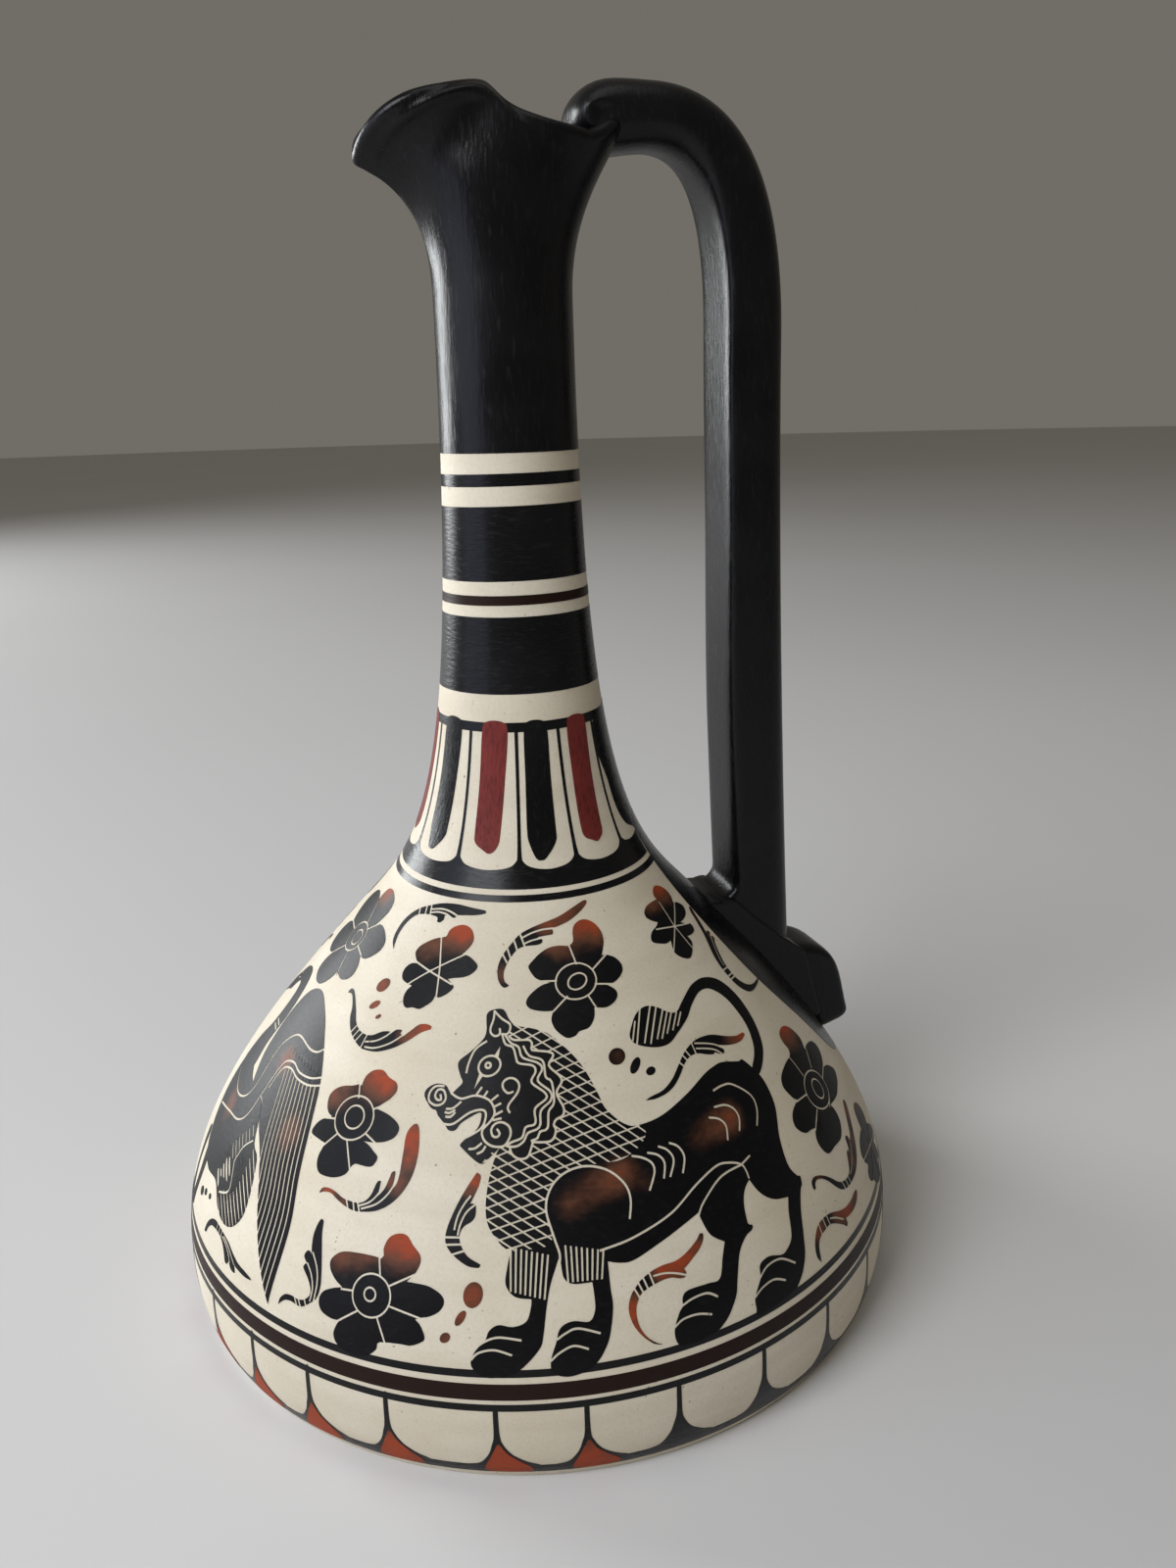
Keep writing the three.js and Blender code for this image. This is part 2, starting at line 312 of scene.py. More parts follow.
def shade(bm, crease):
    """Smooth faces, with the edges that bend more than the crease kept sharp."""
    for face in bm.faces:
        face.smooth = True
    for edge in bm.edges:
        edge.smooth = edge.calc_face_angle() < crease


def piece(name, bm, material, slot, *nodes):
    """A finished object on the jug's one body, standing for the nodes it is named with."""
    mesh = bpy.data.meshes.new(name)
    bm.to_mesh(mesh)
    bm.free()
    mesh.materials.append(material)
    obj = bpy.data.objects.new(name, mesh)
    bpy.context.scene.collection.objects.link(obj)
    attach(obj, "root")
    if nodes:
        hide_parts(*nodes)


# Finishes

class Tone:
    """One output among a finish's nodes; arithmetic on it adds Math nodes."""

    def __init__(self, finish, socket):
        self.finish = finish
        self.socket = socket

    def math(self, operation, *terms):
        return self.finish.node("ShaderNodeMath", {"operation": operation}, dict(enumerate(terms)))

    def __add__(self, other):
        return self.math("ADD", self, other)

    __radd__ = __add__

    def __mul__(self, other):
        return self.math("MULTIPLY", self, other)

    def __sub__(self, other):
        return self.math("SUBTRACT", self, other)

    def band(self, low, high):
        """Nought below low, one above high and smooth between."""
        return self.finish.node(
            "ShaderNodeMapRange", {"interpolation_type": "SMOOTHSTEP"},
            {"Value": self, "From Min": low, "From Max": high})


class Finish:
    """A material of the jug, with one method that adds every node."""

    def __init__(self, name):
        self.material = bpy.data.materials.new(name)
        self.material.use_nodes = True
        self.tree = self.material.node_tree
        self.shader = self.tree.nodes["Principled BSDF"]
        self.place = self.node("ShaderNodeTexCoord", {}, {}, "Object")

    def node(self, kind, settings, sockets, output=0):
        made = self.tree.nodes.new(kind)
        for name, value in settings.items():
            setattr(made, name, value)
        for name, value in sockets.items():
            self.feed(made.inputs[name], value)
        return Tone(self, made.outputs[output])

    def feed(self, socket, value):
        if isinstance(value, Tone):
            self.tree.links.new(value.socket, socket)
        else:
            socket.default_value = value

    def set(self, **values):
        for name, value in values.items():
            self.feed(self.shader.inputs[name.replace("_", " ")], value)
        return self.material

    def noise(self, size, detail=3.0, stretch=(1, 1, 1)):
        """Soft noise with features of about the given size in mm."""
        spot = self.node("ShaderNodeMapping", {}, {"Vector": self.place, "Scale": stretch})
        return self.node("ShaderNodeTexNoise", {},
                         {"Vector": spot, "Scale": 1 / (size * MM), "Detail": detail})

    def blend(self, share, low, high):
        return self.node("ShaderNodeMix", {"data_type": "RGBA"},
                         {"Factor": share, 6: low, 7: high}, 2)

    def bump(self, height, depth):
        """Relief of the given depth in mm."""
        return self.node("ShaderNodeBump", {}, {"Height": height, "Distance": depth * MM})


def rgb(red, green, blue):
    return (red, green, blue, 1)


CREAM = rgb(0.62, 0.55, 0.42)
CREAM_PALE = rgb(0.70, 0.64, 0.52)
CREAM_WORN = rgb(0.46, 0.38, 0.26)
SPECK = rgb(0.16, 0.11, 0.07)
BLACK = rgb(0.0030, 0.0028, 0.0034)
BLACK_WORN = rgb(0.012, 0.011, 0.013)
BROWN = rgb(0.0155, 0.006, 0.0035)
WASH_BROWN = rgb(0.105, 0.040, 0.021)
WASH_RED = rgb(0.30, 0.05, 0.017)
BAR_RED = rgb(0.18, 0.028, 0.023)
BAR_DARK = rgb(0.085, 0.013, 0.012)
BLACK_SHEEN = 0.22
FIGURE_SHEEN = 0.14


def cream_slip():
    f = Finish("cream_slip")
    cloud = f.noise(26, 4).band(0.3, 0.72)
    drag = f.noise(9, 3, (0.35, 0.35, 3)).band(0.35, 0.75)
    grain = f.noise(0.45, 2)
    specks = f.noise(0.8, 1).band(0.72, 0.77) * f.noise(7, 2).band(0.45, 0.6)
    stain = f.noise(14, 5).band(0.62, 0.85)
    colour = f.blend(cloud, CREAM, CREAM_PALE)
    colour = f.blend(drag * 0.2, colour, CREAM_WORN)
    colour = f.blend(stain * 0.3, colour, CREAM_WORN)
    colour = f.blend(grain.band(0.4, 0.7) * 0.16, colour, CREAM_WORN)
    colour = f.blend(specks * 0.6, colour, SPECK)
    relief = grain * 0.5 + drag * 0.4 + cloud * 0.4
    return f.set(Base_Color=colour, Roughness=0.6 + grain * 0.2 - drag * 0.05,
                 Specular_IOR_Level=0.3, Normal=f.bump(relief, 0.07))


def black_slip(name, stretch):
    """Brushed black slip, with its strokes drawn out along the given stretch."""
    f = Finish(name)
    strokes = f.noise(1.1, 3, stretch)
    fine = f.noise(0.35, 2, stretch)
    cloud = f.noise(11, 3).band(0.35, 0.75)
    worn = strokes.band(0.52, 0.78)
    colour = f.blend(worn * 0.5 + cloud * 0.2, BLACK, BLACK_WORN)
    return f.set(Base_Color=colour, Roughness=0.24 + worn * 0.14 + cloud * 0.08,
                 Specular_IOR_Level=BLACK_SHEEN, Normal=f.bump(strokes + fine * 0.35, 0.05))


def figure_slip():
    """Black slip of the figures, thinned to brown and red where the wash attribute says."""
    f = Finish("figure_slip")
    strokes = f.noise(1.4, 3, (1, 1, 2.2))
    cloud = f.noise(3.2, 3)
    fine = f.noise(0.4, 2)
    wash = f.node("ShaderNodeAttribute", {"attribute_name": "wash"}, {}, "Fac")
    thin = wash + (strokes - 0.5) * wash * 0.6 + (cloud - 0.5) * wash * 0.9
    colour = f.blend(strokes.band(0.5, 0.8) * 0.5, BLACK, BLACK_WORN)
    colour = f.blend(thin.band(0.1, 0.5), colour, WASH_BROWN)
    colour = f.blend(thin.band(0.38, 0.95), colour, WASH_RED)
    return f.set(Base_Color=colour, Roughness=0.36 + fine * 0.14 + thin.band(0.2, 1) * 0.12,
                 Specular_IOR_Level=FIGURE_SHEEN, Normal=f.bump(strokes + fine * 0.5, 0.035))


def red_slip():
    f = Finish("red_slip")
    strokes = f.noise(1.2, 3, (2.6, 2.6, 0.5))
    cloud = f.noise(6, 3).band(0.3, 0.7)
    colour = f.blend(strokes.band(0.4, 0.75) * 0.6 + cloud * 0.3, BAR_RED, BAR_DARK)
    return f.set(Base_Color=colour, Roughness=0.44 + strokes * 0.15,
                 Specular_IOR_Level=FIGURE_SHEEN, Normal=f.bump(strokes, 0.045))


def brown_slip():
    f = Finish("brown_slip")
    strokes = f.noise(1.3, 3, (0.4, 0.4, 2.4))
    worn = strokes.band(0.56, 0.8)
    colour = f.blend(worn * 0.6, BROWN, BLACK_WORN)
    return f.set(Base_Color=colour, Roughness=0.4 + worn * 0.15,
                 Specular_IOR_Level=FIGURE_SHEEN, Normal=f.bump(strokes, 0.04))


# Brush and needle work, drawn flat

def smooth(points, closed=False):
    """Even line through the points; a point given twice is a corner."""
    points = [Vector(p) for p in points]
    count = len(points)
    line = []
    for i in range(count if closed else count - 1):
        ends = [points[j % count] if closed else points[min(max(j, 0), count - 1)]
                for j in range(i - 1, i + 3)]
        if ends[1] == ends[2]:
            continue
        pull_in = (ends[2] - ends[0]) / 6
        pull_out = (ends[3] - ends[1]) / 6
        steps = max(2, math.ceil((ends[2] - ends[1]).length / BRUSH_STEP) + 1)
        line += interpolate_bezier(ends[1], ends[1] + pull_in, ends[2] - pull_out, ends[2],
                                   steps)[:-1]
    if not closed:
        line.append(points[-1])
    return line


def facing_up(loop):
    """The loop running anticlockwise."""
    twice_area = sum(a.cross(b) for a, b in zip(loop, loop[1:] + loop[:1]))
    return loop if twice_area > 0 else loop[::-1]


def oval(x, y, wide, high, turn=0, steps=20):
    """An oval loop of the given half sizes, turned by degrees."""
    swing = Matrix.Rotation(math.radians(turn), 2)
    return [Vector((x, y)) + swing @ Vector((wide * math.cos(a), high * math.sin(a)))
            for a in (2 * math.pi * i / steps for i in range(steps))]


def round_line(loop):
    """The loop as a line that comes back to its start."""
    return [*loop, loop[0]]


class Drawing:
    """One motif: brushed shapes, lines scratched through them, and thinned washes."""

    def __init__(self):
        self.shapes = []
        self.cuts = []
        self.fields = []
        self.washes = []

    def brush(self, points):
        self.shapes.append(facing_up(smooth(points, closed=True)))

    def dot(self, *sizes):
        self.shapes.append(oval(*sizes))

    def scratch(self, points, width=NEEDLE, field=None):
        line = smooth(points) if len(points) > 2 else [Vector(p) for p in points]
        for low, high in zip(line, line[1:]):
            along = (high - low).normalized() * width / 2
            side = Vector((-along.y, along.x))
            low, high = low - along / 2, high + along / 2
            self.cuts.append(([low - side, high - side, high + side, low + side], field))

    def hatch(self, outline, lines, width=NEEDLE):
        """Scratches that stop at the edge of an outline."""
        self.fields.append(facing_up(smooth(outline, closed=True)))
        for line in lines:
            self.scratch(line, width, len(self.fields) - 1)

    def nick(self, points):
        """A small patch scraped out."""
        self.cuts.append((facing_up([Vector(p) for p in points]), None))

    def wash(self, x, y, radius, strength):
        self.washes.append((Vector((x, y)), radius, strength))

    def wash_at(self, spot):
        total = sum(strength * math.exp(-((spot - centre).length / radius) ** 2)
                    for centre, radius, strength in self.washes)
        return min(total, 1)

    def grid(self):
        spots = [p for shape in self.shapes for p in shape]
        left, right = min(p.x for p in spots), max(p.x for p in spots)
        low, high = min(p.y for p in spots), max(p.y for p in spots)
        across = math.ceil((right - left) / FILM_GRID)
        up = math.ceil((high - low) / FILM_GRID)
        return [Vector((left + FILM_GRID * (i + j % 2 / 2), low + FILM_GRID * j))
                for i in range(across + 1) for j in range(up + 1)]

    def cells(self):
        """Flat triangles of what the brush covers and the needle leaves."""
        loops = self.shapes + [cut for cut, field in self.cuts] + self.fields
        spots, faces = [], []
        for loop in loops:
            faces.append(list(range(len(spots), len(spots) + len(loop))))
            spots += loop
        brushed = len(self.shapes)
        scratched = brushed + len(self.cuts)
        corners, _, cells, _, _, owners = delaunay_2d_cdt(
            spots + self.grid(), [], faces, 1, WELD)
        kept = []
        for cell, within in zip(cells, owners):
            fields = {owner - scratched for owner in within if owner >= scratched}
            cut = any(
                self.cuts[owner - brushed][1] is None or self.cuts[owner - brushed][1] in fields
                for owner in within if brushed <= owner < scratched)
            if not cut and any(owner < brushed for owner in within):
                kept.append(cell)
        return corners, kept


def film(name, works, material, lift):
    """A coat of slip from drawings laid on the wall, as one closed thin piece."""
    bm = bmesh.new()
    wash = bm.verts.layers.float.new("wash")
    for drawing, chart in works:
        corners, cells = drawing.cells()
        made = {}
        for cell in cells:
            for i in cell:
                if i not in made:
                    made[i] = bm.verts.new(chart.wrap(corners[i].x, corners[i].y, lift))
                    made[i][wash] = drawing.wash_at(corners[i])
            order = cell if chart.flip > 0 else reversed(cell)
            bm.faces.new([made[i] for i in order])
    bmesh.ops.dissolve_degenerate(bm, edges=bm.edges[:], dist=WELD * MM)
    for vert in bm.verts[:]:
        bmesh.utils.vert_separate(vert, [])
    bmesh.ops.solidify(bm, geom=bm.faces[:], thickness=FILM * MM)
    shade(bm, WALL_CREASE)
    piece(name, bm, material, "black_slip")


def ring_film(name, rings, material):
    """Painted rings, each from a lower to an upper height and tilted a little."""
    whole = bmesh.new()
    for low, high, tilt, peak in rings:
        start, end = WALL.run_at(low), WALL.run_at(high)
        rows = max(2, math.ceil((end - start) / RING_STEP) + 1)

        def place(row, turn):
            front = row < rows
            share = (row if front else 2 * rows - 1 - row) / (rows - 1)
            run = mixed(start, end, share) + tilt * math.cos(turn - math.radians(peak))
            return wall_point(turn, run, RING_LIFT if front else RING_LIFT - FILM)

        bm = spun(2 * rows, TURN_STEPS, place, True)
        mesh = bpy.data.meshes.new(name)
        bm.to_mesh(mesh)
        bm.free()
        whole.from_mesh(mesh)
        bpy.data.meshes.remove(mesh)
    shade(whole, WALL_CREASE)
    piece(name, whole, material, "black_slip")


# Figures

LION_OUTLINE = [
    (-7.8, 26.2), (-6.6, 26.9), (-5.3, 26.9), (-4.7, 26.4), (-4.1, 25.1), (-3.0, 24.0),
    (-0.4, 23.4), (2.0, 22.5), (4.0, 20.9), (6.4, 18.4), (8.1, 15.9), (9.7, 12.6),
    (10.7, 10.3), (12.4, 8.6), (13.8, 7.7), (15.6, 7.4), (19.9, 8.8), (24.9, 12.2),
    (28.9, 15.6), (31.1, 17.0), (33.0, 17.8), (36.9, 18.2), (37.6, 18.6), (40.0, 17.0),
    (41.9, 15.0), (43.2, 11.0), (42.9, 5.6), (43.9, 1.2), (45.8, -0.5), (46.5, -0.5),
    (46.7, -1.9), (46.2, -2.8), (45.8, -6.0), (46.1, -9.9), (46.4, -12.8), (45.9, -15.6),
    (44.7, -18.0), (44.7, -18.0), (42.2, -19.4), (39.1, -20.9), (36.1, -21.9), (35.7, -20.8),
    (35.3, -19.2), (36.1, -16.7), (36.3, -16.0), (36.1, -14.4), (36.9, -13.5), (38.4, -12.9),
    (40.8, -12.8), (42.0, -12.1), (43.2, -10.1), (42.9, -6.3), (43.1, -3.9), (43.1, -3.9),
    (40.3, -4.3), (38.2, -3.9), (36.5, -2.9), (35.0, -1.2), (35.0, -1.2), (33.9, -2.8),
    (33.5, -5.0), (34.0, -7.9), (34.8, -8.1), (34.8, -8.8), (33.4, -9.9), (32.1, -12.3),
    (31.6, -16.3), (31.4, -18.6), (30.1, -21.6), (28.6, -23.4), (28.6, -23.4), (26.5, -24.4),
    (23.9, -25.2), (21.3, -25.3), (20.4, -23.2), (21.1, -20.6), (21.7, -19.6), (21.7, -18.3),
    (22.6, -17.3), (26.1, -16.5), (28.3, -15.9), (28.9, -12.8), (29.4, -10.5), (29.4, -10.5),
    (26.9, -9.4), (25.4, -7.1), (25.0, -6.0), (25.0, -6.0), (21.8, -8.0), (18.6, -9.9),
    (13.9, -12.4), (11.7, -12.7), (9.7, -12.4), (9.7, -12.4), (10.0, -16.2), (10.3, -19.0),
    (9.8, -22.8), (9.1, -24.8), (7.9, -26.7), (6.3, -28.0), (3.2, -28.8), (0.7, -28.1),
    (0.4, -26.2), (1.3, -23.6), (1.8, -21.9), (2.7, -21.0), (4.3, -20.6), (6.6, -20.8),
    (7.5, -19.2), (7.4, -16.7), (7.2, -15.2), (7.2, -15.2), (4.3, -15.3), (2.9, -14.4),
    (2.5, -12.2), (2.2, -11.6), (1.7, -12.8), (0.7, -15.5), (0.0, -18.7), (-0.6, -22.3),
    (-1.2, -24.2), (-3.7, -26.7), (-5.9, -28.0), (-8.2, -28.3), (-10.5, -28.0), (-12.2, -26.3),
    (-11.6, -24.4), (-9.6, -22.5), (-9.2, -21.6), (-8.5, -20.9), (-7.3, -20.5), (-5.2, -20.9),
    (-3.1, -20.2), (-2.3, -18.1), (-2.2, -17.1), (-2.2, -17.1), (-4.7, -16.6), (-6.0, -14.8),
    (-5.6, -12.2), (-5.0, -10.0), (-5.0, -10.0), (-6.3, -9.3), (-8.2, -6.5), (-8.6, -3.6),
    (-8.0, 0.3), (-6.9, 3.7), (-6.1, 5.1), (-6.1, 5.1), (-8.3, 3.2), (-9.0, 2.8), (-10.1, 3.4),
    (-12.0, 5.3), (-12.4, 5.9), (-11.7, 6.6), (-9.6, 8.2), (-8.9, 10.0), (-9.1, 10.6),
    (-10.1, 10.3), (-12.2, 9.2), (-12.8, 8.5), (-13.4, 8.1), (-14.3, 8.3), (-14.9, 9.3),
    (-16.0, 10.7), (-16.3, 11.5), (-17.2, 12.0), (-18.3, 14.0), (-17.8, 15.1), (-16.3, 15.7),
    (-14.7, 15.3), (-14.1, 14.3), (-13.7, 13.9), (-13.0, 14.5), (-11.9, 15.5), (-12.3, 16.7),
    (-12.6, 18.8), (-10.6, 20.3), (-8.6, 22.0), (-7.9, 23.4),
]
LION_TAIL = [
    (40.9, 16.2), (42.8, 18.9), (43.8, 22.3), (43.2, 26.6), (40.8, 30.8), (37.2, 33.2),
    (33.3, 33.2), (29.9, 31.4), (27.0, 28.1), (25.5, 26.2), (23.8, 26.0), (21.5, 26.8),
    (19.4, 26.8), (17.6, 25.5), (16.5, 23.4), (16.0, 21.5), (17.2, 20.3), (20.4, 19.9),
    (23.0, 20.6), (25.1, 22.6), (27.4, 25.2), (29.1, 27.9), (31.5, 30.4), (34.4, 31.1),
    (38.0, 29.4), (40.8, 25.5), (41.4, 22.0), (40.9, 19.6), (39.6, 16.9),
]
MANE_EDGE = [
    (-4.2, 22.4), (-3.4, 21.7), (-0.8, 21.5), (-0.5, 20.6), (-0.5, 19.9), (2.0, 19.5), (2.9, 18.9),
    (2.1, 17.3), (3.7, 15.6), (4.0, 14.6), (3.1, 12.9), (4.1, 10.6), (3.9, 9.4), (2.9, 8.9),
    (2.4, 8.1), (2.7, 7.1), (1.8, 5.6), (-1.0, 5.6),
]
MANE_LOBE = [(-4.6, 5.2), (-4.3, 4.0), (-3.2, 3.2), (-1.9, 3.4), (-1.3, 4.6), (-1.0, 5.6)]
HATCHED_COAT = [
    *MANE_EDGE, *MANE_LOBE[::-1], (-6.0, 5.4), (-9.5, 2.0), (-10.0, -5.0), (-7.5, -9.8),
    (-2.5, -10.0), (0.2, -9.8), (1.4, -8.4), (0.5, -5.0), (0.7, -3.0), (2.6, 0.0), (5.3, 1.4),
    (9.0, 1.9), (13.0, 2.4), (16.2, 4.6), (17.0, 6.8), (14.0, 8.6), (10.5, 13.0), (7.0, 19.5),
    (1.0, 24.4), (-3.2, 24.4),
]
LION_LINES = [
    [(-6.5, 26.7), (-6.7, 25.3), (-7.2, 24.0), (-7.2, 23.1), (-6.5, 22.5), (-5.7, 22.8), (-5.7, 23.7)],
    [(-6.5, 26.6), (-5.3, 25.3), (-4.0, 24.3), (-4.0, 23.4), (-4.5, 22.7), (-5.4, 22.8)],
    [(-11.3, 17.0), (-10.9, 18.5), (-9.8, 20.6), (-7.9, 21.8)],
    [(-13.8, 14.0), (-12.2, 13.0), (-9.8, 13.3), (-7.6, 12.4), (-6.8, 10.6), (-7.4, 9.3), (-8.8, 8.0)],
    [(-9.6, 13.5), (-8.8, 14.5)], [(-8.4, 13.1), (-7.9, 13.8)], [(-7.2, 12.4), (-6.2, 13.1)],
    [(-6.7, 11.4), (-5.8, 11.8)], [(-6.7, 10.1), (-5.6, 10.6)], [(-7.1, 9.3), (-5.8, 9.5)],
    [(-15.0, 9.3), (-13.5, 9.2), (-10.8, 10.7), (-8.8, 11.0), (-8.2, 10.2), (-9.0, 8.2), (-11.8, 6.8)],
    [(-14.6, 11.6), (-13.5, 11.6), (-12.2, 12.5)], [(-14.8, 11.1), (-14.1, 10.9), (-13.2, 11.3)],
    [(-14.7, 10.4), (-13.9, 10.3), (-13.2, 10.9)],
    [(-15.0, 15.2), (-16.4, 15.3), (-17.4, 14.4), (-17.5, 13.1), (-16.4, 12.3), (-15.2, 12.5),
     (-14.7, 13.4), (-15.1, 14.6), (-16.0, 14.7), (-16.5, 13.9), (-16.2, 13.2), (-15.5, 13.1),
     (-15.6, 13.9)],
    [(-8.3, 8.7), (-8.9, 7.6), (-8.6, 6.4), (-7.6, 5.5), (-6.4, 5.2), (-5.3, 5.4), (-4.4, 6.9),
     (-4.6, 8.2), (-5.7, 8.9), (-6.8, 8.7), (-7.4, 7.9), (-7.2, 6.9), (-6.5, 6.7), (-6.1, 7.2),
     (-6.5, 7.9)],
    [(-11.0, 5.2), (-10.1, 5.2), (-9.0, 5.9)], [(-9.7, 4.4), (-8.9, 4.7), (-8.4, 5.4)],
    [(-3.8, 13.5), (-4.6, 13.3), (-5.3, 14.0), (-5.4, 14.9), (-4.6, 15.6), (-3.5, 15.5),
     (-2.8, 14.6), (-3.1, 13.3), (-4.5, 11.6), (-4.7, 10.8), (-4.4, 10.3)],
    [(-5.3, 22.7), (-4.8, 21.1), (-3.6, 20.5), (-3.1, 18.6), (-2.7, 17.9), (-0.5, 17.4), (-0.1, 16.4),
     (-0.8, 14.8), (1.2, 13.1), (1.4, 12.1), (-0.4, 10.7), (-0.4, 8.9), (-0.7, 8.2), (-2.0, 7.9),
     (-2.6, 6.4), (-4.2, 5.8), (-5.2, 5.3)],
    [(-4.8, 22.6), (-3.9, 21.2), (-2.7, 20.5), (-2.1, 18.8), (0.3, 17.8), (1.0, 16.8), (0.2, 15.0),
     (2.1, 13.2), (2.1, 11.8), (0.5, 10.3), (0.3, 8.2), (-0.3, 7.5), (-1.7, 7.0), (-2.4, 5.8),
     (-3.6, 5.1), (-5.0, 5.2)],
    [(-1.9, 20.6), (-1.0, 19.0), (1.1, 18.1), (1.5, 15.5), (2.4, 14.7), (2.6, 11.5), (1.7, 10.1),
     (1.4, 7.6), (0.2, 7.1), (-0.2, 6.2), (-1.2, 5.8)],
    MANE_EDGE, MANE_LOBE,
    [(13.5, -6.4), (13.8, -3.6), (13.0, -1.3), (10.5, 0.8), (7.1, 1.6), (3.8, 0.8), (1.5, -1.3),
     (0.6, -4.4), (1.6, -8.4), (2.4, -11.0), (2.2, -12.6)],
    [(8.6, -10.8), (13.9, -9.2), (20.2, -6.0), (24.9, -1.9), (28.9, 0.9), (31.5, 1.4), (33.8, 1.1),
     (34.6, 0.1), (35.0, -1.0)],
    [(25.0, -6.4), (26.1, -4.4), (29.5, -0.8), (33.8, 1.1)], [(33.8, 1.1), (35.7, 2.5)],
    [(14.5, 2.8), (16.1, 2.5), (17.6, 1.7), (18.0, 0.3), (17.0, -2.4)],
    [(17.1, 3.2), (18.8, 2.8), (19.8, 1.6), (19.5, -0.7)],
    [(19.0, 4.1), (20.5, 3.5), (21.4, 2.0), (20.6, -0.5)],
    [(20.9, 4.6), (22.4, 4.0), (23.3, 2.4), (22.8, 0.0)],
    [(30.2, 12.9), (32.1, 13.8), (34.3, 14.1), (37.9, 12.5), (38.8, 10.3), (38.2, 7.4)],
    [(29.9, 10.2), (32.1, 10.6), (33.8, 10.0), (34.6, 8.6), (34.3, 6.5)],
    [(28.6, 8.5), (30.5, 8.3), (31.7, 7.2), (31.7, 5.0)],
    [(-10.8, -23.3), (-9.3, -22.6), (-7.4, -22.3), (-4.1, -22.9)],
    [(-12.1, -25.3), (-10.9, -24.4), (-8.4, -24.1), (-5.7, -25.0)],
    [(1.5, -23.1), (3.0, -22.2), (4.8, -21.7), (8.2, -22.6)],
    [(0.4, -26.2), (1.8, -25.1), (4.0, -24.2), (6.3, -24.8)],
    [(21.6, -19.5), (23.5, -18.5), (26.0, -17.9), (27.9, -18.5)],
    [(20.4, -22.6), (21.8, -21.5), (24.4, -20.9), (26.9, -21.1)],
    [(36.2, -16.1), (37.7, -14.4), (40.6, -13.4), (44.0, -14.1)],
    [(35.3, -19.0), (36.8, -17.6), (39.2, -16.5), (41.8, -16.7)],
]
LEG_FRINGES = [((-5.0, -9.6), (0.6, -11.0), (-5.3, -15.8), (-0.2, -17.2), 8),
               ((3.3, -9.8), (9.1, -10.8), (3.5, -15.0), (8.7, -14.8), 8)]
TUFT_LINES = [((16.4, 20.9), (17.2, 24.2)), ((17.1, 20.4), (18.4, 26.4)), ((18.5, 20.6), (20.4, 27.0)),
              ((19.6, 20.5), (21.5, 26.8)), ((20.9, 21.3), (22.7, 26.3)), ((21.8, 21.4), (23.5, 26.0)),
              ((22.9, 22.3), (24.4, 26.1)), ((24.1, 22.9), (25.4, 26.1)), ((25.2, 23.7), (26.3, 26.2))]
LION_HAIR = [((-10.5, -11), (-10.5, 45), (18, -31), (18, 25), 33),
             ((-10, -11), (-10, 21.5), (18, -4), (18, 34), 20)]
LION_EYE = (-7.5, 17.8, 1.85, 1.55, 25)
LION_PUPIL = (-7.7, 17.9, 0.42, 0.42)
EYE_NICKS = [[(-9.1, 17.0), (-8.5, 16.4), (-10.1, 14.2)], [(-6.6, 19.5), (-6.0, 19.0), (-5.6, 20.9)]]
LION_WASHES = [(10.8, -0.8, 2.8, 0.48), (13.2, 1.4, 2.2, 0.3), (6.4, -2.6, 3.2, 0.3),
               (3.6, -4.4, 2.4, 0.22), (16.2, -1.2, 2.8, 0.2), (33.0, 8.6, 2.8, 0.5),
               (29.6, 7.2, 3.0, 0.3), (26.0, 5.0, 3.0, 0.22)]


def rake(start, start_end, finish, finish_end, count):
    """Straight lines side by side between two edges."""
    lines = []
    for i in range(count):
        share = i / (count - 1)
        lines.append([Vector(start).lerp(Vector(start_end), share),
                      Vector(finish).lerp(Vector(finish_end), share)])
    return lines


def lion():
    d = Drawing()
    d.brush(LION_OUTLINE)
    d.brush(LION_TAIL)
    for line in LION_LINES:
        d.scratch(line)
    d.hatch(HATCHED_COAT, [line for hair in LION_HAIR for line in rake(*hair)], HAIR_NEEDLE)
    for fringe in LEG_FRINGES:
        for line in rake(*fringe):
            d.scratch(line, FINE_NEEDLE)
    for line in TUFT_LINES:
        d.scratch(line, FINE_NEEDLE)
    d.scratch(round_line(oval(*LION_EYE)))
    d.scratch(round_line(oval(*LION_PUPIL)), PUPIL_NEEDLE)
    for nick in EYE_NICKS:
        d.nick(nick)
    for wash in LION_WASHES:
        d.wash(*wash)
    return d


BIRD_WING = [
    (-13.0, 3.0), (-12.2, 8.5), (-10.0, 12.6), (-5.7, 14.2), (-0.7, 12.2), (3.8, 8.8), (8.8, 3.5),
    (12.1, -2.3), (16.0, -10.7), (19.2, -17.3), (20.5, -23.5), (21.0, -30.9), (21.0, -30.9),
    (18.6, -28.8), (15.5, -25.6), (12.0, -21.6), (8.2, -16.9), (4.3, -12.9), (0.0, -9.8),
    (-3.5, -6.5), (-9.0, -7.0), (-12.5, -2.0),
]
BIRD_BODY = [
    (-16.5, -3.6), (-11.0, -6.0), (-3.0, -7.0), (1.5, -12.6), (4.5, -14.2), (7.0, -19.0),
    (7.6, -23.0), (5.6, -26.0), (2.4, -27.0), (-1.5, -26.0), (-6.0, -23.4), (-12.0, -23.6),
    (-18.0, -21.6), (-22.8, -16.0), (-24.4, -10.0), (-22.5, -4.5),
]
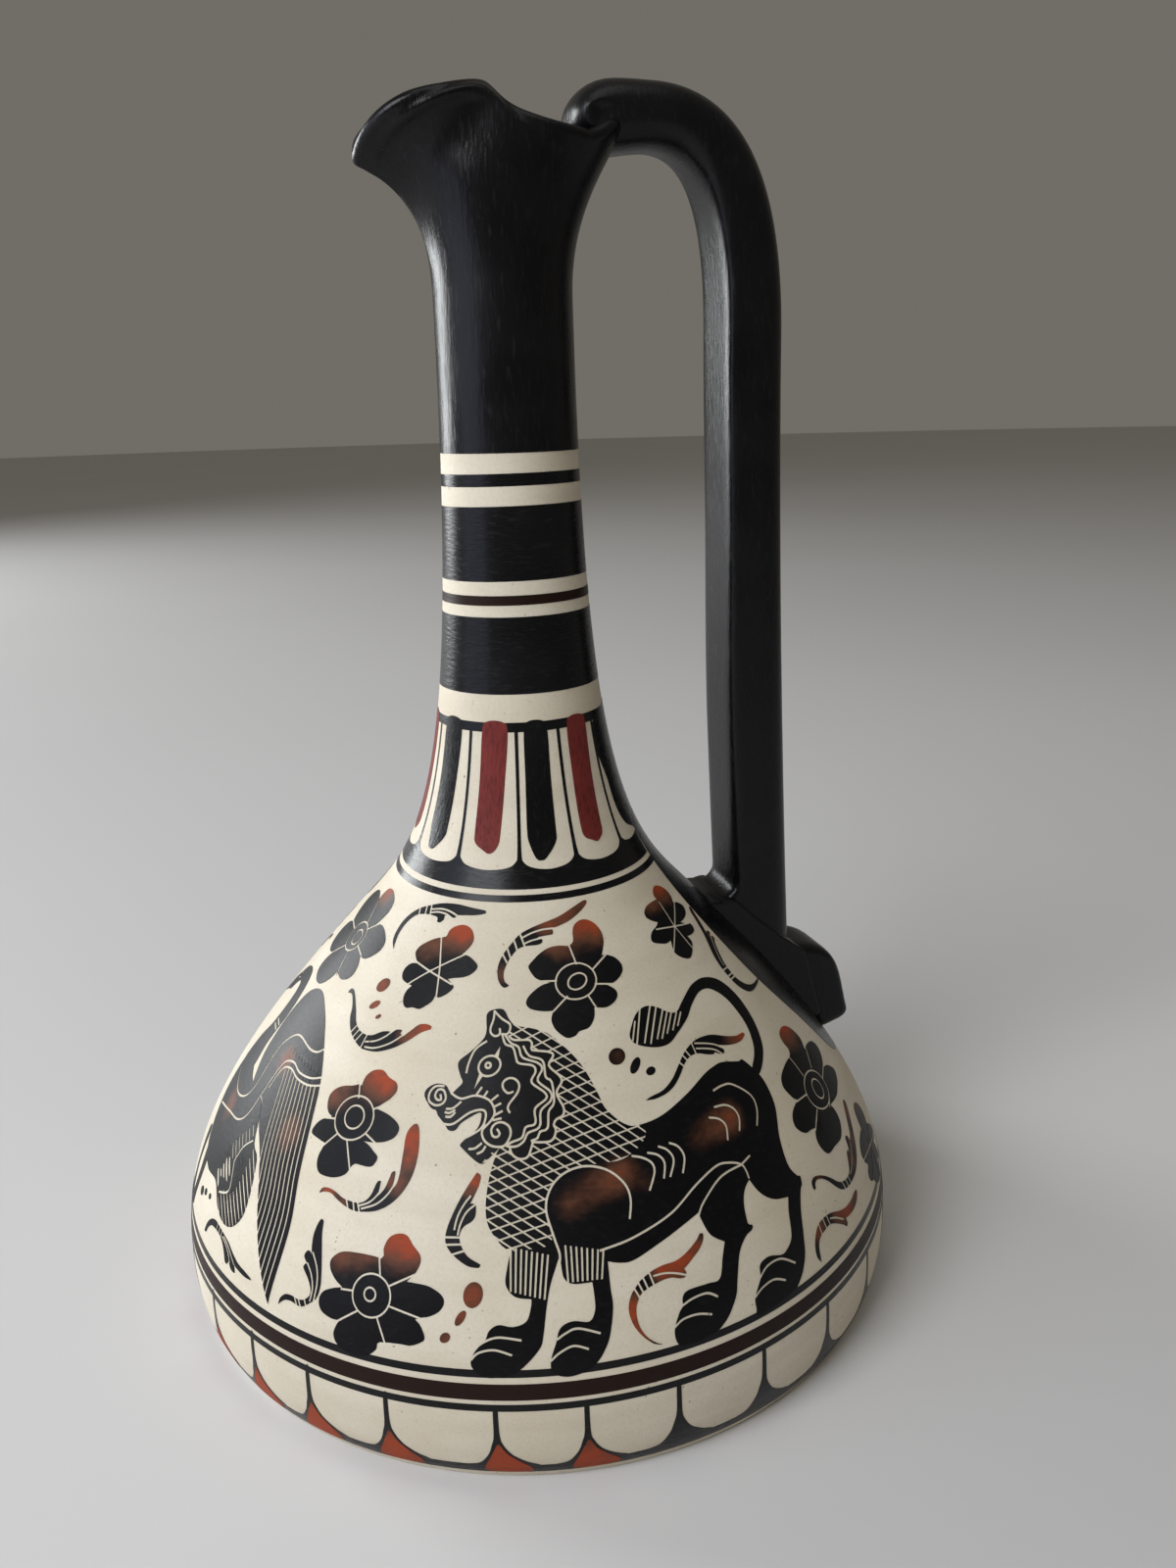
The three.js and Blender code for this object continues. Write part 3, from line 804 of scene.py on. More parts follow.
BIRD_NECK = [
    (-15.0, -5.0), (-14.6, 0.4), (-13.2, 6.5), (-13.4, 11.2), (-15.0, 14.5), (-18.0, 15.6),
    (-21.5, 15.0), (-24.2, 13.2), (-27.4, 11.4), (-30.4, 8.0), (-30.4, 8.0), (-26.8, 8.9),
    (-24.0, 9.4), (-22.2, 10.8), (-20.2, 12.1), (-18.0, 11.6), (-17.2, 8.6), (-18.4, 3.6),
    (-21.5, -0.6), (-23.2, -6.0),
]
BIRD_LEGS = [
    [(-23.0, -19.5), (-20.8, -20.0), (-20.6, -26.0), (-19.8, -30.8), (-21.2, -32.6), (-26.8, -32.6),
     (-22.8, -30.4), (-22.2, -26.0)],
    [(-17.6, -21.5), (-15.0, -22.5), (-14.8, -26.0), (-16.4, -30.8), (-17.8, -32.6), (-23.0, -32.6),
     (-18.8, -30.0), (-17.2, -26.0)],
]
BIRD_LINES = [
    [(-8.3, -0.5), (-7.5, 2.6), (-5.0, 5.3), (-2.5, 6.0), (2.0, 5.6), (4.4, 6.1), (5.6, 7.3)],
    [(-4.2, -4.6), (-3.6, -1.0), (-2.6, 1.1), (0.0, 2.0), (3.0, 1.5), (6.5, 2.1), (9.2, 3.6)],
    [(-3.2, -4.4), (-2.8, -1.4), (-1.8, 0.3), (0.4, 0.9), (3.5, 0.5), (7.0, 1.0), (9.9, 2.4)],
    [(-22.6, -7.2), (-16.0, -9.8), (-11.0, -9.3), (-8.5, -6.5), (-8.3, -0.5)],
    [(-22.8, -14.6), (-14.0, -13.4), (-8.0, -12.6), (-5.2, -10.0), (-4.2, -4.6)],
    [(-2.0, -17.8), (-1.2, -14.8), (0.8, -12.6)], [(-2.0, -17.8), (0.4, -22.0), (-3.0, -24.0)],
    [(-22.6, 12.4), (-24.4, 11.6), (-24.2, 9.6)], [(-17.2, 4.6), (-14.2, 4.0)],
    [(-17.4, 3.6), (-14.3, 3.0)],
]
BIRD_FEATHERS = [
    (-3.0, -6.6), (-2.6, -1.6), (-1.6, 0.1), (0.4, 0.7), (3.5, 0.3), (7.0, 0.8), (9.9, 2.2), (9.9, 2.2),
    (12.4, -2.3), (16.3, -10.7), (19.5, -17.3), (20.8, -23.5), (21.0, -30.6), (18.4, -29.0),
    (15.2, -25.8), (11.7, -21.8), (7.9, -17.1), (4.0, -13.1), (-0.2, -10.0),
]
FEATHER_EDGE = [(8.6, 4.0), (12.1, -2.3), (16.0, -10.7), (19.2, -17.3), (20.5, -23.5), (21.0, -30.9)]
FEATHER_STEP = 1.22
FEATHERS = 11
BIRD_DOWN = [
    [(2.2, -13.0), (5.0, -14.4), (7.4, -19.0), (7.5, -23.0), (5.2, -26.3), (1.5, -27.0), (-2.5, -25.4),
     (-1.5, -22.8), (1.5, -22.0), (2.6, -19.0), (2.4, -15.5)],
    [(-6.2, -10.8), (-3.4, -8.4), (-0.4, -10.4), (0.2, -12.4), (-1.6, -15.0), (-2.4, -17.6), (-5.2, -17.2),
     (-6.0, -14.0)],
]
DOWN_LINES = ((-9.2, -21.1), (0.4, -8.3), (3.6, -30.7), (13.2, -17.9), 16)
BIRD_EYE = (-23.0, 12.8, 0.55, 0.5)
BIRD_DOTS = [(-11.4, -27.6, 1.0, 0.8), (-9.0, -26.8, 0.7, 0.6), (-6.2, -26.4, 0.6, 0.5)]
BIRD_WASHES = [(-3.0, 1.2, 3.0, 0.55), (9.0, -7.0, 3.6, 0.45), (-15.5, -12.2, 3.4, 0.5)]


def bird():
    d = Drawing()
    for shape in [BIRD_WING, BIRD_BODY, BIRD_NECK, *BIRD_LEGS]:
        d.brush(shape)
    for line in BIRD_LINES:
        d.scratch(line)
    quills = [[(x - FEATHER_STEP * i, y) for x, y in FEATHER_EDGE] for i in range(1, FEATHERS)]
    d.hatch(BIRD_FEATHERS, quills, FINE_NEEDLE)
    for field in BIRD_DOWN:
        d.hatch(field, rake(*DOWN_LINES), HAIR_NEEDLE)
    d.scratch(round_line(oval(*BIRD_EYE)), FINE_NEEDLE)
    for dot in BIRD_DOTS:
        d.dot(*dot)
    for wash in BIRD_WASHES:
        d.wash(*wash)
    return d


# Charts that the motifs are drawn in, by azimuth and height of their middle
FRONT = (-105, 45)
LEFT = (-165, 50)
TOP = (-120, 66)
RIGHT = (-55, 48)


def cornered(runs):
    """One outline of several runs, with a corner where each run starts."""
    return [p for run in runs for p in (run[0], *run)]


def ring(x, y, wide, high, turn=0):
    """The line scratched round the heart of a rosette."""
    return round_line(oval(x, y, wide, high, turn, 32))


def motif(runs, lines, washes):
    """A brushed shape with its scratched lines and its thinned places."""
    d = Drawing()
    d.brush(cornered(runs))
    for line in lines:
        d.scratch(line, FINE_NEEDLE)
    for wash in washes:
        d.wash(*wash)
    return d


# Rosettes: chart, petals from the red one clockwise, scratched lines, and washes
ROSETTES = [
    (TOP, [
        [(-27.2, 21.2), (-26.2, 22.3), (-24.6, 22.8), (-22.9, 22.0), (-21.7, 20.4), (-21.3, 19.0),
         (-21.9, 17.4), (-23.2, 16.2), (-24.4, 15.4)],
        [(-24.8, 15.1), (-23.6, 15.2), (-22.2, 14.4), (-21.0, 12.8), (-20.4, 11.2), (-20.9, 9.8),
         (-22.4, 8.9), (-24.2, 8.5), (-25.4, 8.8)],
        [(-26.2, 9.7), (-26.0, 8.6), (-25.9, 7.2), (-26.6, 5.7), (-28.0, 5.1), (-29.8, 5.4), (-31.2, 6.6)],
        [(-32.0, 7.2), (-33.0, 6.4), (-34.8, 5.8), (-36.8, 5.8), (-38.6, 6.9), (-39.8, 8.6), (-40.1, 10.2),
         (-39.0, 11.6), (-37.2, 12.4)],
        [(-36.3, 12.7), (-38.0, 12.9), (-39.4, 14.0), (-40.2, 15.8), (-39.9, 17.6), (-38.6, 18.9),
         (-36.6, 19.4), (-35.2, 19.0)],
        [(-34.6, 18.8), (-34.7, 20.5), (-34.4, 22.3), (-33.0, 24.0), (-31.0, 24.6), (-29.0, 24.0),
         (-27.7, 22.4)],
    ], [
        ring(-29.9, 14.1, 3.1, 2.9), ring(-29.5, 13.8, 1.5, 1.5), [(-34.8, 19.0), (-32.0, 16.2)],
        [(-27.2, 21.0), (-27.8, 16.3)], [(-23.6, 15.2), (-27.0, 14.8)], [(-26.0, 9.4), (-28.2, 11.9)],
        [(-31.6, 7.2), (-30.9, 11.4)], [(-37.2, 12.6), (-32.8, 12.9)],
    ], [(-24.3, 22.6, 3.2, 0.8)]),
    (TOP, [
        [(-8.1, 11.1), (-7.3, 11.3), (-7.0, 12.2), (-6.2, 12.9), (-4.6, 13.3), (-3.2, 12.8), (-2.4, 11.6),
         (-2.3, 10.4), (-2.9, 9.2), (-3.7, 8.3)],
        [(-3.9, 8.1), (-3.0, 8.0), (-1.8, 7.3), (-0.8, 6.1), (-1.7, 4.8), (-3.0, 4.2), (-4.6, 4.0)],
        [(-5.7, 3.8), (-5.1, 3.3), (-4.4, 2.5), (-4.8, 1.8), (-5.8, 1.0), (-6.8, 0.6)],
        [(-7.5, 0.8), (-7.8, 0.0), (-8.8, -0.8), (-10.0, -1.4), (-11.3, -1.1), (-12.5, -1.2), (-13.2, -0.5),
         (-13.4, 0.8), (-12.9, 2.0), (-12.2, 2.6)],
        [(-12.9, 2.9), (-14.2, 3.7), (-14.6, 4.8), (-14.2, 5.9), (-13.2, 6.6), (-12.2, 6.6)],
        [(-11.8, 6.5), (-12.4, 7.4), (-12.8, 8.6), (-12.2, 9.6), (-11.0, 10.3), (-9.4, 10.9)],
    ], [
        [(-8.3, 11.3), (-7.9, 8.5), (-7.5, 5.5), (-7.2, 0.3)], [(-13.3, 2.8), (-9.5, 5.0), (-3.0, 8.3)],
        [(-12.3, 6.9), (-9.2, 5.1), (-4.8, 2.9)],
    ], [(-4.2, 13.4, 4.2, 1.05), (-10.6, 9.6, 3.2, 0.4)]),
    (TOP, [
        [(13.8, 11.4), (14.4, 12.4), (14.1, 14.2), (14.3, 15.4), (15.2, 16.4), (16.4, 16.7), (17.8, 16.3),
         (19.0, 15.2), (19.6, 13.6), (19.6, 12.0)],
        [(19.5, 10.9), (20.2, 11.2), (21.8, 11.1), (23.0, 10.3), (23.4, 9.2), (23.0, 7.9), (22.0, 6.6),
         (20.8, 6.1)],
        [(20.4, 6.0), (21.6, 5.8), (22.6, 5.3), (22.9, 4.4), (22.4, 3.2), (21.2, 2.1), (19.8, 1.8)],
        [(19.2, 1.7), (19.4, 0.4), (19.2, -0.8), (18.6, -1.9), (17.2, -2.7), (16.8, -3.4), (15.8, -4.0),
         (14.8, -3.9), (13.4, -3.0), (12.6, -1.8), (12.5, -0.8)],
        [(12.7, 0.1), (11.6, -0.2), (10.2, -0.3), (8.8, -0.1), (8.1, 0.6), (8.2, 1.6), (9.0, 2.8),
         (10.2, 4.0), (11.2, 4.5)],
        [(11.6, 4.7), (10.6, 4.7), (9.2, 5.0), (8.2, 5.9), (7.6, 6.9), (8.2, 8.0), (9.2, 9.4),
         (10.6, 10.6), (12.2, 11.2)],
    ], [
        ring(15.7, 5.6, 3.5, 3.0, 35), ring(15.9, 5.6, 1.7, 1.25, 45), [(13.8, 11.5), (15.4, 8.5)],
        [(20.2, 11.2), (18.2, 8.1)], [(22.2, 6.4), (18.9, 5.7)], [(19.8, 1.4), (18.0, 3.5)],
        [(12.6, -0.1), (14.6, 2.8)], [(9.6, 4.6), (12.5, 5.1)],
    ], [(16.4, 17.4, 4.4, 1.1), (11.4, 11.4, 3.0, 0.5)]),
    (RIGHT, [
        [(3.1, 36.0), (2.9, 36.6), (3.4, 37.5), (4.6, 38.2), (5.8, 38.1), (7.2, 37.4), (8.0, 36.2),
         (7.8, 35.0), (7.2, 34.2)],
        [(7.4, 33.9), (8.2, 33.9), (9.2, 33.3), (9.6, 32.6), (9.0, 31.6), (8.0, 31.0), (6.6, 30.6)],
        [(5.0, 30.4), (6.4, 29.7), (7.4, 29.4), (7.8, 28.9), (7.4, 28.0), (6.2, 27.6), (5.2, 27.6)],
        [(4.2, 27.7), (4.4, 26.6), (3.8, 25.8), (2.6, 24.9), (1.4, 24.3), (0.4, 24.4), (-0.8, 25.2),
         (-1.5, 26.3), (-1.2, 27.4)],
        [(-0.5, 28.6), (-1.8, 28.5), (-3.0, 28.9), (-4.6, 29.9), (-4.2, 30.9), (-3.0, 31.6), (-1.6, 31.9)],
        [(-0.6, 32.4), (-1.6, 33.1), (-2.4, 34.1), (-2.0, 35.1), (-0.6, 35.8), (1.2, 36.0)],
    ], [
        [(3.2, 35.4), (3.0, 32.6), (2.8, 30.3), (3.4, 25.4)], [(-1.6, 26.7), (2.8, 30.3), (7.7, 34.1)],
        [(-2.1, 31.5), (2.8, 30.3), (7.2, 29.5)],
    ], [(5.6, 38.6, 3.6, 1.05), (0.2, 36.2, 2.6, 0.5)]),
    (RIGHT, [
        [(9.9, 0.3), (10.8, 0.8), (11.2, 1.6), (10.9, 2.6), (11.0, 4.0), (12.0, 4.8), (13.6, 5.1),
         (15.2, 4.8), (16.6, 3.8), (17.6, 2.2), (17.7, 1.0), (17.0, -0.2)],
        [(16.8, -0.8), (18.2, -0.4), (20.0, -0.3), (22.0, -0.6), (23.2, -1.6), (23.2, -2.8), (22.2, -4.0),
         (20.8, -4.9)],
        [(19.8, -5.5), (21.6, -5.6), (23.4, -6.2), (24.9, -7.5), (23.4, -9.0), (21.6, -9.8), (19.4, -10.6),
         (17.0, -10.9)],
        [(14.2, -10.9), (14.8, -12.0), (14.9, -13.4), (14.4, -14.6), (13.0, -15.9), (11.4, -16.5),
         (8.6, -16.5), (6.0, -16.6), (4.8, -15.8), (4.2, -14.2), (4.4, -13.0)],
        [(5.5, -11.6), (4.0, -11.3), (2.4, -11.1), (1.2, -10.2), (0.6, -9.0), (1.0, -7.8), (2.0, -6.9),
         (3.6, -6.3)],
        [(5.0, -6.0), (4.2, -5.4), (3.6, -4.2), (3.2, -2.8), (3.8, -1.6), (5.0, -0.8), (6.8, -0.2),
         (8.6, 0.2)],
    ], [
        ring(12.6, -7.2, 4.3, 3.4), ring(13.0, -7.2, 1.75, 1.8), [(9.8, 0.4), (10.3, -1.6), (10.7, -3.8)],
        [(17.6, -0.6), (15.0, -3.9)], [(20.6, -5.2), (16.8, -6.7)], [(13.6, -11.1), (15.6, -9.6)],
        [(5.2, -12.0), (9.0, -9.6)], [(4.4, -6.1), (8.4, -6.4)],
    ], [(14.0, 5.4, 4.2, 0.95)]),
    (FRONT, [
        [(-30.4, 17.2), (-30.0, 16.9), (-29.3, 18.3), (-27.8, 19.1), (-26.0, 18.9), (-24.8, 17.6),
         (-23.4, 16.6), (-23.2, 15.3), (-24.2, 14.2), (-25.8, 13.4)],
        [(-27.0, 12.8), (-26.0, 12.4), (-24.3, 11.4), (-22.9, 10.1), (-22.6, 9.0), (-23.4, 7.9),
         (-25.2, 7.4), (-27.2, 7.5)],
        [(-29.0, 7.9), (-28.0, 7.2), (-27.2, 6.3), (-26.3, 5.1), (-27.0, 4.0), (-27.8, 3.8), (-29.0, 4.1),
         (-30.4, 4.5)],
        [(-31.2, 4.1), (-32.0, 3.2), (-33.3, 2.8), (-35.2, 2.9), (-37.3, 3.7), (-38.0, 5.0), (-37.8, 6.5),
         (-37.1, 7.6)],
        [(-36.6, 8.4), (-38.0, 9.2), (-39.7, 10.5), (-38.8, 11.8), (-37.4, 12.4), (-36.2, 12.3)],
        [(-35.6, 12.6), (-36.4, 13.3), (-36.8, 14.6), (-36.5, 16.2), (-35.2, 17.1), (-33.5, 17.3),
         (-31.8, 17.1)],
    ], [
        ring(-31.1, 11.8, 3.8, 3.5), ring(-31.0, 11.9, 1.9, 1.85), [(-30.4, 17.5), (-30.4, 14.9)],
        [(-25.7, 13.2), (-27.5, 12.7)], [(-26.6, 7.2), (-28.6, 9.0)], [(-31.4, 3.8), (-32.2, 8.4)],
        [(-37.4, 7.8), (-34.2, 9.6)], [(-36.8, 12.5), (-34.8, 12.1)],
    ], [(-25.2, 18.6, 4.4, 1.05), (-35.0, 16.6, 3.4, 0.55)]),
    (FRONT, [
        [(-25.8, -10.0), (-25.2, -9.5), (-25.2, -8.5), (-24.2, -7.0), (-22.6, -6.5), (-21.2, -6.9),
         (-20.3, -8.3), (-19.2, -9.8), (-19.2, -11.0), (-20.0, -12.3), (-21.0, -13.1)],
        [(-21.6, -13.5), (-20.2, -13.8), (-18.0, -14.4), (-16.2, -15.6), (-15.7, -16.8), (-16.5, -18.0),
         (-18.2, -18.7), (-19.6, -18.8)],
        [(-20.6, -19.0), (-19.8, -20.0), (-19.3, -21.8), (-20.0, -22.4), (-21.8, -22.8), (-23.5, -22.5),
         (-25.6, -22.2)],
        [(-26.6, -22.1), (-27.5, -22.2), (-28.0, -23.2), (-29.8, -24.0), (-32.0, -23.9), (-34.2, -23.0),
         (-35.4, -21.8), (-35.6, -20.4), (-34.8, -19.2)],
        [(-34.0, -18.5), (-35.5, -18.2), (-37.2, -17.2), (-37.8, -16.0), (-37.5, -14.8), (-36.5, -14.0),
         (-34.7, -13.7)],
        [(-32.9, -13.7), (-34.2, -12.4), (-35.0, -10.8), (-34.8, -9.5), (-33.5, -8.7), (-32.0, -8.5),
         (-29.5, -8.9), (-26.6, -9.6)],
    ], [
        ring(-27.8, -15.2, 3.35, 3.2), ring(-28.0, -15.0, 1.0, 1.0), [(-26.0, -9.3), (-26.0, -12.4)],
        [(-20.2, -12.6), (-24.6, -14.0)], [(-19.8, -18.9), (-24.8, -16.9)],
        [(-26.2, -22.3), (-27.1, -18.4)],
        [(-34.8, -18.7), (-30.6, -17.3)], [(-33.2, -13.9), (-31.0, -14.3)],
    ], [(-21.4, -6.6, 4.6, 1.1), (-32.5, -8.4, 3.6, 0.5), (-28.2, -8.6, 2.6, 0.3)]),
    (RIGHT, [
        [(23.2, -18.8), (23.3, -17.2), (24.0, -15.6), (25.6, -14.8), (27.4, -15.0), (28.8, -16.0),
         (29.5, -17.6), (29.2, -19.0)],
        [(28.8, -19.8), (30.2, -20.0), (32.0, -20.6), (33.3, -21.6), (32.6, -22.6), (31.0, -23.0)],
        [(28.8, -23.1), (30.0, -24.2), (30.6, -25.4), (29.6, -26.2), (28.2, -26.3)],
        [(27.2, -26.5), (28.3, -27.8), (27.6, -28.9), (25.6, -29.4), (23.6, -29.3), (22.0, -28.8),
         (20.9, -28.0)],
        [(20.4, -27.6), (19.0, -27.4), (17.9, -26.6), (18.1, -25.4), (19.0, -24.8)],
        [(19.4, -24.4), (18.2, -23.6), (17.6, -22.4), (18.0, -21.2), (19.4, -20.0), (21.4, -19.2)],
    ], [
        [(17.6, -23.0), (24.6, -22.7), (33.0, -22.5)], [(19.4, -27.8), (24.6, -22.7), (29.6, -18.7)],
        [(26.5, -29.4), (24.6, -22.7), (22.8, -18.6)],
    ], [(26.8, -14.8, 3.4, 0.4)]),
]

